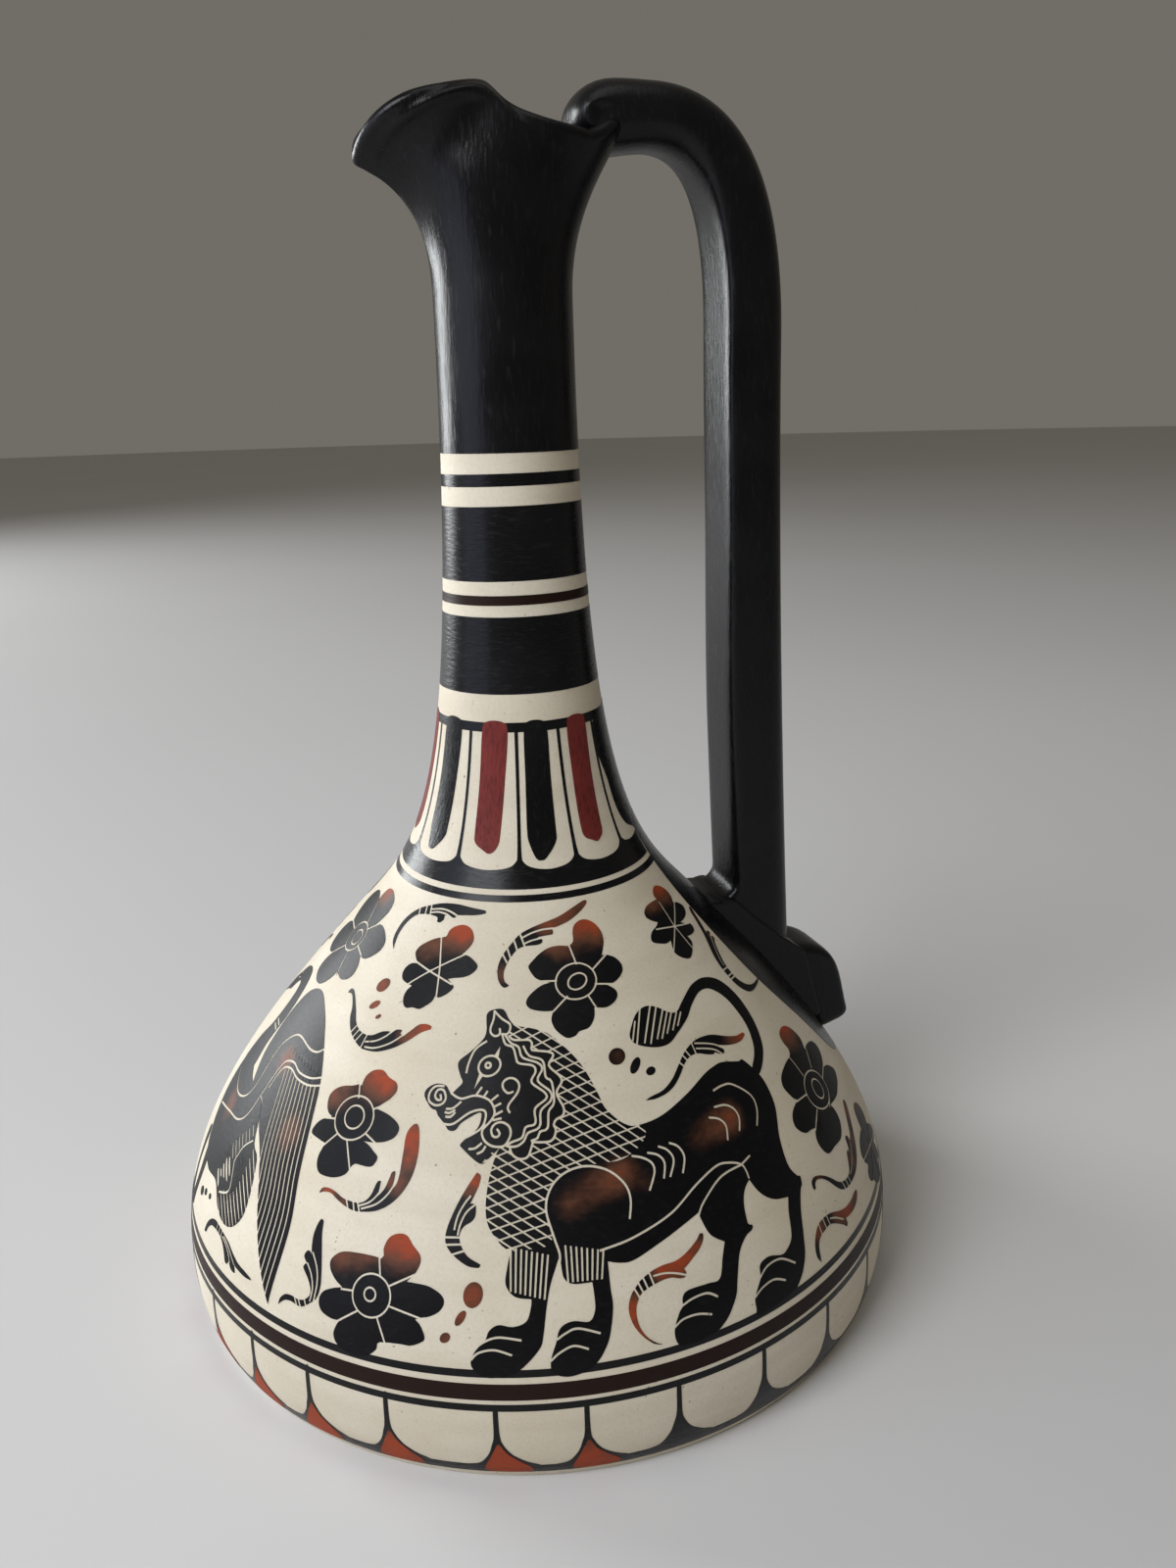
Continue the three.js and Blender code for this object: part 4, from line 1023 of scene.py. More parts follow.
# Leaf scrolls: a curled stem that opens into a long blade and one or two short tongues
SCROLLS = [
    (TOP, [
        [(-17.9, 9.6), (-18.5, 11.2), (-18.3, 12.8), (-17.4, 14.6), (-15.9, 15.9), (-14.0, 16.7),
         (-12.0, 17.0), (-9.0, 17.2), (-6.0, 16.9), (-3.4, 16.3), (-0.8, 15.8), (-0.8, 15.4),
         (-2.6, 15.0)],
        [(-5.8, 15.0), (-6.5, 14.5)],
        [(-7.4, 15.0), (-8.3, 15.0), (-8.4, 14.3), (-9.1, 13.8), (-9.7, 14.0), (-9.7, 14.7), (-11.2, 15.3),
         (-13.0, 15.6), (-14.6, 15.5), (-16.3, 14.4), (-17.4, 12.8), (-17.8, 11.2)],
    ], [
        [(-13.8, 17.2), (-13.9, 15.2)], [(-12.3, 17.3), (-12.5, 15.1)], [(-11.3, 17.4), (-11.4, 14.9)],
        [(-11.2, 16.3), (-9.0, 16.2), (-7.2, 15.6), (-5.8, 14.8)],
        [(-11.2, 15.7), (-9.7, 15.7), (-8.0, 15.2), (-6.9, 14.4)],
    ], []),
    (TOP, [
        [(4.9, 3.4), (4.3, 2.9), (3.6, 3.2), (2.9, 4.3), (2.6, 5.8), (2.7, 7.0), (3.2, 8.6), (4.2, 10.4),
         (5.4, 12.2), (7.2, 13.6), (9.5, 15.0), (11.5, 16.3), (13.5, 18.2), (15.2, 19.9), (15.8, 20.0),
         (15.7, 19.2), (14.6, 17.4), (13.2, 15.8), (11.6, 14.6)],
        [(10.6, 14.0), (10.9, 13.1), (10.0, 12.7)],
        [(8.4, 12.1), (9.3, 11.8), (9.3, 11.3), (8.6, 10.8), (7.3, 10.5), (6.3, 10.2), (5.3, 9.5),
         (4.4, 8.0), (3.9, 6.6), (3.7, 5.2), (4.1, 3.9)],
    ], [
        [(2.9, 8.8), (4.2, 6.8)], [(3.5, 10.0), (4.6, 7.7)], [(4.4, 11.5), (5.5, 9.2)],
        [(5.4, 12.4), (6.7, 9.9)], [(5.9, 11.7), (7.5, 12.8), (9.2, 13.6), (11.0, 14.1)],
        [(6.4, 10.7), (7.5, 11.4), (9.6, 12.3)],
    ], [(13.0, 17.2, 2.6, 0.5), (9.6, 14.6, 2.4, 0.6), (3.4, 5.2, 2.0, 0.4), (15.4, 19.6, 1.4, 0.4)]),
    (FRONT, [
        [(-36.2, 34.3), (-35.6, 34.9), (-34.8, 34.5), (-34.1, 33.0), (-33.3, 30.4), (-32.8, 28.2),
         (-31.8, 26.6), (-30.2, 25.5), (-28.6, 25.2), (-26.8, 25.5), (-25.3, 25.3)],
        [(-25.0, 24.9), (-24.0, 25.4), (-22.9, 25.2), (-23.2, 24.7)],
        [(-22.6, 24.1), (-21.2, 24.9), (-19.7, 25.7), (-18.2, 25.6), (-17.4, 25.1), (-17.6, 24.7),
         (-19.4, 24.3), (-21.8, 23.2), (-24.4, 22.4), (-27.5, 22.2), (-30.1, 22.9), (-31.3, 23.6),
         (-33.0, 25.5), (-34.0, 27.5), (-34.4, 29.5), (-34.3, 31.0), (-34.6, 32.6), (-35.1, 33.8)],
    ], [
        [(-34.0, 26.3), (-32.0, 27.9)], [(-33.4, 25.3), (-31.3, 27.1)], [(-32.6, 24.6), (-30.6, 26.3)],
        [(-31.3, 23.0), (-29.9, 25.5)], [(-30.2, 24.3), (-28.0, 24.1), (-26.0, 24.6), (-24.8, 25.3)],
        [(-30.2, 23.4), (-28.0, 22.9), (-25.0, 23.3), (-22.5, 24.4)],
    ], [(-18.3, 25.2, 1.9, 0.95), (-21.8, 24.0, 2.2, 0.5)]),
    (FRONT, [
        [(-37.2, 0.7), (-36.6, 1.4), (-35.4, 1.3), (-34.0, 0.6), (-32.7, -0.4), (-31.4, -1.0),
         (-29.6, -1.5), (-28.2, -1.2), (-27.2, -0.3), (-26.6, 0.8), (-26.1, 1.5), (-25.6, 1.5),
         (-25.9, 0.2)],
        [(-26.2, -0.8), (-25.0, 0.2), (-24.2, 1.6), (-23.7, 2.6), (-23.1, 2.7), (-23.3, 1.4)],
        [(-23.8, 0.0), (-22.9, 0.8), (-22.3, 2.6), (-21.8, 5.4), (-21.2, 8.4), (-19.9, 9.7), (-19.2, 9.2),
         (-19.1, 6.4), (-19.6, 3.6), (-20.6, 1.2), (-22.2, -0.8), (-24.2, -2.2), (-26.4, -2.9),
         (-28.6, -2.9), (-30.4, -2.6), (-32.0, -1.8), (-33.4, -0.8), (-34.8, 0.4), (-36.1, 0.8)],
    ], [
        [(-31.9, -0.5), (-31.5, -2.5)], [(-30.6, -0.9), (-30.4, -2.9)], [(-29.8, -1.1), (-29.4, -3.1)],
        [(-29.4, -1.9), (-27.8, -1.6), (-26.6, -0.9), (-25.2, 0.4)],
        [(-29.1, -2.4), (-26.4, -1.9), (-24.4, -0.6), (-23.2, 0.9)],
    ], [(-20.3, 8.0, 2.4, 0.9), (-20.6, 4.4, 2.4, 0.6), (-22.4, 0.2, 2.2, 0.4), (-24.2, 1.6, 1.4, 0.3),
        (-35.4, 1.0, 1.8, 0.8), (-32.4, -1.2, 1.6, 0.4)]),
    (FRONT, [
        [(-47.0, -15.4), (-46.3, -14.5), (-45.0, -14.0), (-43.6, -14.3), (-42.4, -14.9), (-41.2, -15.1),
         (-40.0, -14.8), (-39.3, -14.0), (-39.5, -12.4), (-40.2, -10.9), (-40.5, -10.2), (-39.9, -9.7)],
        [(-39.4, -10.2), (-40.2, -8.6), (-39.4, -7.8), (-38.8, -8.2)],
        [(-38.6, -8.8), (-38.6, -7.4), (-38.2, -5.6), (-37.4, -4.1), (-36.6, -3.3), (-36.2, -3.6),
         (-36.5, -5.6), (-36.6, -8.4), (-36.8, -11.0), (-37.2, -13.3), (-38.2, -15.0), (-39.8, -15.7),
         (-41.5, -16.1), (-42.6, -15.8), (-43.9, -15.1), (-45.4, -14.9)],
    ], [
        [(-43.0, -14.2), (-42.6, -16.2)], [(-42.2, -14.6), (-41.8, -16.5)],
        [(-40.9, -14.6), (-40.6, -16.3)],
        [(-39.7, -15.4), (-38.9, -13.6), (-38.9, -11.6), (-39.6, -9.7)],
        [(-38.9, -15.4), (-37.9, -13.0), (-37.7, -10.6), (-38.4, -8.2)],
    ], []),
    (FRONT, [
        [(-9.8, 1.6), (-9.2, 1.1), (-9.5, -0.2), (-10.2, -1.6), (-10.8, -2.6)],
        [(-11.0, -2.9), (-10.2, -3.0), (-10.1, -3.6), (-10.3, -4.9), (-11.0, -5.6), (-12.0, -6.1),
         (-12.7, -7.0), (-12.8, -8.2), (-12.3, -9.6), (-11.4, -10.7), (-9.7, -11.8), (-10.0, -12.2),
         (-11.6, -11.9), (-13.1, -10.9), (-14.3, -9.7), (-15.0, -8.4), (-14.9, -6.8), (-14.0, -4.7),
         (-12.7, -2.4), (-11.2, -0.2)],
    ], [
        [(-15.3, -7.5), (-12.5, -7.7)], [(-15.0, -8.6), (-12.4, -8.7)], [(-14.2, -10.1), (-12.0, -9.6)],
        [(-13.6, -6.5), (-13.0, -4.6), (-11.9, -2.9), (-10.9, -1.8)],
        [(-13.1, -7.3), (-12.6, -5.7), (-11.6, -4.1), (-10.2, -3.1)],
    ], [(-9.9, 0.5, 1.9, 0.75), (-11.2, -1.0, 1.6, 0.3)]),
    (FRONT, [
        [(17.6, 11.3), (19.2, 11.5), (21.2, 12.3), (22.8, 13.5), (24.2, 15.3), (25.4, 17.3), (26.8, 18.6),
         (28.4, 19.1), (30.0, 19.0), (31.5, 19.1)],
        [(31.9, 19.5), (33.3, 19.2), (34.0, 19.7), (33.7, 20.3)],
        [(32.8, 20.8), (34.8, 20.9), (36.8, 21.3), (38.6, 22.1), (39.8, 23.3), (39.4, 23.6), (37.6, 22.8),
         (35.0, 22.5), (31.8, 22.5), (29.2, 21.8), (27.4, 20.8), (25.7, 19.2), (24.2, 17.0), (22.7, 14.7),
         (20.8, 12.9), (18.6, 11.9)],
    ], [
        [(24.1, 17.7), (25.5, 16.6)], [(25.1, 18.8), (26.3, 17.5)], [(25.8, 19.6), (26.9, 18.3)],
        [(27.2, 21.3), (28.0, 18.8)], [(28.0, 20.8), (30.2, 20.9), (32.2, 20.8), (33.9, 20.3)],
        [(28.1, 19.9), (30.0, 20.0), (32.0, 19.9), (33.4, 19.3)],
    ], [(39.0, 23.0, 2.0, 0.75), (36.0, 22.0, 2.2, 0.4)]),
    (FRONT, [
        [(18.4, -25.0), (17.0, -24.8), (15.5, -23.9), (14.4, -22.9), (13.5, -21.7), (12.9, -20.2),
         (12.8, -18.9), (13.2, -17.5), (13.8, -16.6), (14.8, -15.4), (15.8, -14.7), (17.0, -14.0),
         (18.6, -13.4), (20.4, -13.0), (21.8, -12.3), (23.2, -11.2), (24.4, -10.0), (25.0, -9.1),
         (25.5, -9.1), (25.5, -10.0), (24.9, -11.2), (23.8, -12.4), (22.6, -13.6)],
        [(22.0, -14.1), (22.3, -14.5), (22.3, -15.2), (21.4, -15.5), (20.0, -15.3), (18.6, -15.5),
         (16.8, -16.2), (15.6, -16.8), (14.8, -17.4), (14.3, -18.3), (14.0, -19.4), (14.1, -20.8),
         (14.7, -22.4), (15.8, -23.7), (17.2, -24.6)],
    ], [
        [(13.6, -16.3), (14.7, -18.1)], [(14.2, -15.4), (15.3, -17.4)], [(15.0, -14.7), (16.1, -17.0)],
        [(16.1, -14.2), (17.1, -16.6)], [(16.9, -14.9), (18.7, -14.6), (20.6, -14.7), (22.6, -15.1)],
    ], [(21.4, -13.2, 2.6, 0.9), (24.4, -10.8, 1.8, 0.6), (18.0, -14.2, 2.0, 0.6), (13.4, -19.6, 2.4, 0.8),
        (15.2, -23.2, 2.2, 0.7)]),
    (RIGHT, [
        [(17.6, 14.5), (15.5, 14.3), (13.5, 14.3), (11.8, 14.8), (10.4, 15.9), (9.5, 17.4), (9.3, 18.8),
         (9.3, 20.2), (9.8, 21.8), (10.6, 23.4), (11.2, 24.3), (12.0, 24.8), (11.9, 25.4)],
        [(11.3, 25.4), (11.9, 26.3), (11.3, 26.7)],
        [(10.6, 26.2), (11.2, 28.5), (11.7, 30.5), (12.0, 31.8), (11.5, 32.0), (10.7, 31.0), (10.2, 28.8),
         (9.5, 26.4), (8.6, 24.4), (7.8, 22.4), (7.5, 20.4), (7.7, 18.4), (8.1, 16.7), (8.9, 15.2),
         (10.2, 13.9), (11.6, 13.4), (13.4, 13.4), (15.4, 13.7), (17.0, 14.1)],
    ], [
        [(7.2, 19.3), (9.6, 19.3)], [(7.4, 17.9), (9.6, 18.0)], [(7.6, 17.2), (9.7, 17.3)],
        [(8.7, 19.9), (8.9, 21.4), (10.0, 23.6), (11.5, 25.8)],
    ], [(11.4, 30.4, 2.0, 0.3), (11.4, 25.6, 1.4, 0.35)]),
    (RIGHT, [
        [(-2.6, -18.9), (-2.3, -17.9), (-1.2, -17.5), (0.2, -17.9), (1.8, -18.8), (3.3, -20.0),
         (4.6, -21.2), (5.9, -21.9), (7.4, -22.2), (8.8, -22.2), (10.0, -21.7), (10.8, -20.6),
         (11.7, -19.2), (12.5, -18.9)],
        [(12.4, -19.9), (13.2, -18.6), (13.6, -17.2), (14.3, -16.9), (14.8, -17.4)],
        [(14.8, -18.3), (16.2, -17.4), (17.6, -15.6), (19.0, -13.8), (20.3, -12.5), (21.2, -12.5),
         (21.0, -13.6), (19.6, -15.6), (18.0, -17.8), (16.4, -19.8), (14.4, -21.6), (12.2, -22.8),
         (10.0, -23.3), (8.0, -23.5), (6.2, -23.3), (4.6, -22.6), (3.2, -21.2), (2.0, -19.8), (0.6, -18.7),
         (-0.8, -18.2), (-1.7, -18.5), (-2.0, -19.2)],
    ], [
        [(5.8, -21.4), (6.5, -23.7)], [(7.4, -21.7), (7.7, -23.9)], [(8.6, -21.7), (9.0, -23.9)],
        [(9.8, -22.3), (11.4, -21.6), (13.0, -20.4), (14.9, -18.4)],
    ], [(19.6, -14.2, 2.2, 0.6), (16.2, -18.2, 2.2, 0.5), (12.4, -20.8, 2.0, 0.4),
        (0.0, -18.3, 1.8, 0.35)]),
    (RIGHT, [
        [(-7.2, -29.6), (-7.9, -28.3), (-7.6, -26.6), (-6.6, -25.2), (-5.3, -24.2), (-3.8, -23.9),
         (-2.0, -24.0), (-0.6, -24.3), (0.8, -24.8), (2.4, -25.4), (4.6, -25.8), (7.0, -25.7), (8.6, -25.3),
         (9.9, -25.2), (9.9, -25.8), (8.8, -26.7), (7.0, -27.3), (4.8, -27.4)],
        [(3.2, -27.2), (3.4, -28.1), (2.8, -28.5), (2.0, -27.8), (0.6, -26.9), (-0.8, -26.1), (-2.2, -25.6),
         (-4.0, -25.7), (-5.6, -26.0), (-6.6, -26.9), (-7.0, -28.2)],
    ], [
        [(-4.9, -23.6), (-4.9, -26.3)], [(-3.4, -23.5), (-3.2, -26.1)], [(-2.2, -23.6), (-1.9, -26.1)],
        [(-1.4, -24.9), (0.2, -25.6), (2.4, -27.0)],
    ], [(5.0, -26.4, 2.8, 0.8), (1.0, -25.6, 2.0, 0.5), (-5.2, -25.0, 2.2, 0.6), (9.2, -25.6, 1.4, 0.4)]),
]
LEFT_SCROLL = (LEFT, [
    [(-4.7, -31.9), (-4.0, -30.2), (-2.6, -28.8), (-0.8, -28.1), (1.4, -28.1), (3.8, -28.3), (6.2, -28.6),
     (8.4, -29.3), (10.8, -29.8), (13.2, -29.8), (15.3, -29.9), (15.3, -30.1), (13.4, -30.6),
     (11.0, -30.7)],
    [(9.6, -30.6), (10.4, -31.7), (9.2, -31.9), (8.2, -31.4)],
    [(7.8, -30.9), (7.2, -31.9), (6.4, -31.8), (5.6, -30.9), (4.2, -29.8), (2.4, -29.2), (0.4, -29.2),
     (-1.6, -29.5), (-3.0, -30.5), (-3.8, -31.8)],
], [
    [(0.6, -27.7), (0.6, -29.6)], [(1.8, -27.7), (1.8, -29.6)], [(2.9, -27.8), (2.8, -29.6)],
    [(3.4, -28.9), (5.4, -29.4), (7.0, -30.2), (8.0, -31.1)], [(4.0, -28.6), (6.4, -29.2), (9.6, -30.7)],
], [])

# Brush dots: place, half width and height, turn and strength of the wash
DOT_WASH = 2.2
DOTS = [
    (-27.8, 33.9, 1.5, 1.1, 20, 0.7), (-29.1, 30.6, 1.2, 0.6, 15, 0.5), (-28.0, 28.3, 0.6, 0.35, 15, 0.4),
    (13.4, 18.4, 1.5, 1.3, 40, 0.25), (16.4, 16.9, 1.5, 0.7, 60, 0.1), (19.0, 16.0, 0.9, 0.65, 30, 0.0),
    (-11.1, -16.0, 1.5, 1.9, -20, 0.8), (-13.3, -19.2, 1.3, 0.6, 50, 0.6),
    (-16.0, -21.9, 0.9, 0.7, 30, 0.5),
]


def dots():
    d = Drawing()
    for x, y, wide, high, turn, tint in DOTS:
        d.dot(x, y, wide, high, turn)
        d.wash(x, y, DOT_WASH, tint)
    return d


# Ornament bands, in degrees round the jug and mm of height
DIVIDERS = [-309.5, -284, -259, -232, -203, -172.5, -139.9, -108.5, -80.6, -50.8]
DIVIDER = 1.15
DIVIDER_TOP = 106.7
DIVIDER_SIDE = [(0.9 * DIVIDER, 86.4), (0.8 * DIVIDER, 93)]
CUSP = 85.0
CUSP_HALF = 1.9
SCALLOP = 83.7
SCALLOP_TURN = (6, SCALLOP + 0.4)
BAND_LOW = 80.9
BAND_REACH = 19
BAND_END = [(2, CUSP + 0.3), (4.5, 84.8), (11, 84.6)]

# Hanging bars: heights along their sides, and for each bar its middle and half width at the top,
# the same lower down, then the tip
BAR_TOP = 107.9
BAR_TOP_SHARE = 0.6
BAR_SHOULDER = 106.3
BAR_MIDDLE = 98
BAR_LOW = 90
BAR_TAPER = 87.8
BAR_TAPER_SHARE = 0.88
BAR_TIP = 2.6
BAR_TIP_RISE = 0.4
BLACK_BARS = [(-271.5, 7.6, -271.8, 7.0, -272.0, 85.6), (-217.0, 7.9, -217.6, 7.2, -218.0, 85.4),
              (-156.0, 8.4, -157.5, 7.2, -159.4, 85.2), (-95.8, 7.7, -96.7, 7.6, -98.0, 85.1)]
RED_BARS = [(-297.0, 6.9, -296.8, 6.4, -296.6, 86.2), (-245.5, 8.0, -245.2, 7.2, -245.0, 86.0),
            (-187.5, 8.2, -188.2, 7.3, -188.6, 86.0), (-122.7, 8.6, -125.2, 7.1, -123.8, 86.2),
            (-65.6, 8.1, -68.0, 6.8, -67.1, 86.5)]


def tongue_frame():
    """Dividers and the scalloped band that the tongues hang into."""
    first, last = DIVIDERS[0], DIVIDERS[-1]
    away, turn_height = SCALLOP_TURN
    runs = [[(first - BAND_REACH, BAND_LOW)],
            [(first - BAND_REACH, CUSP), *((first - x, y) for x, y in reversed(BAND_END))]]
    for left, right in zip(DIVIDERS, [*DIVIDERS[1:], None]):
        runs[-1] += [(left - x, y) for x, y in DIVIDER_SIDE]
        runs.append([(left - DIVIDER, DIVIDER_TOP)])
        runs.append([(left + DIVIDER, DIVIDER_TOP), *((left + x, y) for x, y in reversed(DIVIDER_SIDE))])
        if right:
            runs[-1] += [(left + CUSP_HALF, CUSP), (left + away, turn_height),
                         ((left + right) / 2, SCALLOP),
                         (right - away, turn_height), (right - CUSP_HALF, CUSP)]
    runs[-1] += [(last + x, y) for x, y in BAND_END]
    runs.append([(last + BAND_REACH, CUSP)])
    runs.append([(last + BAND_REACH, BAND_LOW)])
    d = Drawing()
    d.brush(cornered(runs))
    return d


def bar_side(top, low, tip, end):
    """One edge of a hanging bar from its top down: where it is and its half width, then the tip."""
    (top_at, top_half), (low_at, low_half) = top, low
    return [(top_at + top_half * BAR_TOP_SHARE, BAR_TOP), (top_at + top_half, BAR_SHOULDER),
            ((top_at + low_at + top_half + low_half) / 2, BAR_MIDDLE), (low_at + low_half, BAR_LOW),
            (low_at + low_half * BAR_TAPER_SHARE, BAR_TAPER), (tip, end)]


def hanging_bars(bars):
    d = Drawing()
    for top, top_half, low, low_half, tip, end in bars:
        left = bar_side((top, -top_half), (low, -low_half), tip - BAR_TIP, end + BAR_TIP_RISE)
        right = bar_side((top, top_half), (low, low_half), tip + BAR_TIP, end + BAR_TIP_RISE)
        d.brush([*left, (tip, end), *reversed(right)])
    return d


# Lines between the base tongues: those on the seen side, then evenly round the back
SPANDRELS = [-163, -151, -139.5, -127, -112.1, -100.3, -87.8, -74.3, -60.8, -47.1]
BACK_SPANDRELS = 17
BACK_STEP = 13.56
SPANDRELS += [SPANDRELS[-1] + BACK_STEP * (i + 1) for i in range(BACK_SPANDRELS)]
SPANDREL_LEFT = [(-6, 2.6), (-4.6, 3.4), (-2.6, 4.0), (-1.3, 6.0), (-0.75, 8.0), (-0.4, 10.0), (-0.3, 15.2)]
SPANDREL_RIGHT = [(0.3, 15.2), (0.4, 10.0), (0.85, 8.0), (2.0, 6.0), (3.9, 4.4), (5.4, 3.6), (6, 2.6)]
SPANDREL_RED = [(0.2, 8.3), (1.2, 6.4), (2.8, 4.6), (4.3, 3.0), (4.0, 1.9), (-1.4, 1.9), (-1.9, 3.0),
                (-1.1, 5.2), (-0.4, 7.2)]
SPANDREL_WASH = (1, 4, 6, 1)
RED_FROM = 99


def base_spandrels():
    """Black between the round ends of the base tongues, drawn up into thin lines."""
    d = Drawing()
    for middle in SPANDRELS:
        d.brush(cornered([[(middle + x, y) for x, y in SPANDREL_LEFT],
                          [(middle + x, y) for x, y in SPANDREL_RIGHT]]))
    return d


def base_reds():
    """Red laid into the spandrels on the side away from the handle."""
    d = Drawing()
    for middle in SPANDRELS:
        if abs(math.remainder(middle, 360)) > RED_FROM:
            d.brush([(middle + x, y) for x, y in SPANDREL_RED])
            aside, *wash = SPANDREL_WASH
            d.wash(middle + aside, *wash)
    return d


# One side of the black round the handle's root, which both sides share
PATCH_SIDE = [(45.0, 106.8), (45.0, 95.0), (43.8, 90.0), (40.0, 87.2), (34.0, 86.0), (31.5, 85.3),
              (30.7, 82.0), (30.6, 79.0), (31.0, 76.0), (33.0, 70.6), (33.2, 64.4), (31.7, 57.4),
              (27.3, 49.0), (21.6, 39.3), (14.0, 36.0), (6.0, 35.3)]


def root_patch():
    """Black slip on the neck and shoulder round the root of the handle."""
    d = Drawing()
    d.brush([(-x, y) for x, y in PATCH_SIDE] + [(x, y) for x, y in reversed(PATCH_SIDE)])
    return d


# Rings: lower and upper height, then by how much and at which azimuth they tilt up
RINGS = [
    (146.3, 148.3, 0.15, -60), (131.0, 143.1, 0.2, -60), (112.4, 125.2, 0.1, -60),
    (106.1, 107.7, 0.1, -60), (79.0, 80.0, 0.15, -60), (19.9, 21.05, 0.6, -15),
    (14.4, 15.55, 0.54, -15), (1.6, 3.5, 0, 0),
]
BROWN_RINGS = [(127.1, 128.7, 0.15, -60), (16.25, 18.85, 0.45, -15)]

# Height from which the neck and the mouth are black all over
BLACK_FROM = 151.6


# Clay pieces

def wall_rows(start, end, count):
    """Even runs along the wall, both ends among them."""
    return [mixed(start, end, i / (count - 1)) for i in range(count)]


def inner_point(run):
    """Inside of the wall, level with a point on its outside."""
    point, up = WALL.at(run)
    share = (point.y - FLOOR_THICKNESS) / (NECK_TOP - FLOOR_THICKNESS)
    return Vector((point.x - mixed(BELLY_WALL, NECK_WALL, share) / up.y, point.y))


def clay_body(material):
    """Belly and neck as one shell, up to where the black of the mouth begins."""
    top = WALL.run_at(BLACK_FROM)
    profile = [Vector((0, 0))]
    for run in wall_rows(0, top, WALL_ROWS):
        point, up = WALL.at(run)
        profile.append(Vector((point.x + up.y * CLAY_LIFT, max(point.y - up.x * CLAY_LIFT, 0))))
    for run in wall_rows(top, WALL.run_at(BELLY_HEIGHT), INSIDE_ROWS):
        profile.append(inner_point(run))
    lowest = profile[-1].x
    profile.append(Vector((lowest - BELLY_HEIGHT + FLOOR_THICKNESS, FLOOR_THICKNESS)))
    profile.append(Vector((0, FLOOR_THICKNESS)))

    def place(row, turn):
        point = profile[row]
        return Vector((point.x * math.cos(turn), point.x * math.sin(turn), point.y)) * MM

    bm = spun(len(profile), TURN_STEPS, place, False)
    shade(bm, WALL_CREASE)
    piece("clay_body", bm, material, "cream_slip", "belly", "neck")


def rim_radius(turn):
    """The egg-shaped rim before the fingers press it."""
    half = (SPOUT_REACH + BACK_REACH) / 4
    return (half + SIDE_REACH / 2 + (SPOUT_REACH - BACK_REACH) / 2 * math.cos(turn)
            + (half - SIDE_REACH / 2) * math.cos(2 * turn))


def pinch(turn, share):
    """How far the fingers pressed the wall in, most of all at the rim."""
    press = (abs(turn) - PINCH_ANGLE) / PINCH_SPREAD
    return PINCH_DEPTH * math.exp(-press * press) * share ** PINCH_GRIP


def rim_rise(turn):
    """Height of the rim, up from the spout to the pinch and down again to the back."""
    turn = abs(turn)
    if turn < PINCH_ANGLE:
        return mixed(SPOUT_RISE, PINCH_RISE, math.sin(math.pi / 2 * turn / PINCH_ANGLE))
    fall = (turn - PINCH_ANGLE) / (math.pi - PINCH_ANGLE)
    return mixed(BACK_RISE, PINCH_RISE, 1 / (1 + (fall / FALL_PLACE) ** BACK_FALL))


def thumb_mark(turn, share):
    """How far a thumb pressed the wall in below the rim."""
    aside = (abs(turn) - THUMB_ANGLE) / THUMB_SPREAD
    above = (share - THUMB_SHARE) / THUMB_RUN
    return THUMB_DEPTH * math.exp(-aside * aside - above * above)


def rim_roll(turn, share):
    """How far the outside swells under the rim, where the fingers pushed the clay up."""
    aside = (abs(math.remainder(turn, 2 * math.pi)) - ROLL_ANGLE) / ROLL_SPREAD
    above = (share - ROLL_SHARE) / ROLL_RUN
    return ROLL_DEPTH * math.exp(-aside * aside - above * above)


def eased(value, low, high):
    """Nought below low, one above high and smooth between."""
    share = min(max((value - low) / (high - low), 0), 1)
    return share * share * (3 - 2 * share)


def back_curl(turn, share):
    """Share of the curl of the lip beside the end of the handle."""
    return eased(abs(turn), CURL_FROM, CURL_TO) * share ** CURL_GRIP


def mouth_point(turn, share):
    """Outside of the mouth at a turn from the spout and a share of the way to the rim."""
    turn = math.remainder(turn, 2 * math.pi)
    rise = rim_rise(turn)
    flare = mixed(BACK_FLARE, SPOUT_FLARE, (1 + math.cos(turn)) / 2)
    bend = share * share
    curl = back_curl(turn, share)
    radius = (mixed(NECK_RADIUS, rim_radius(turn), bend) - pinch(turn, share)
              - thumb_mark(turn, share) + CURL_FLARE * curl)
    height = 2 * share * (1 - share) * flare * rise + bend * rise + CURL_RISE * curl
    return Vector((-radius * math.cos(turn), -radius * math.sin(turn), NECK_TOP + height))


def mouth_frame(turn, share):
    """Directions straight out of the mouth's wall and up along it."""
    tiny = 1e-3
    around = mouth_point(turn + tiny, share) - mouth_point(turn - tiny, share)
    up = (mouth_point(turn, share + tiny) - mouth_point(turn, share - tiny)).normalized()
    return around.cross(up).normalized(), up


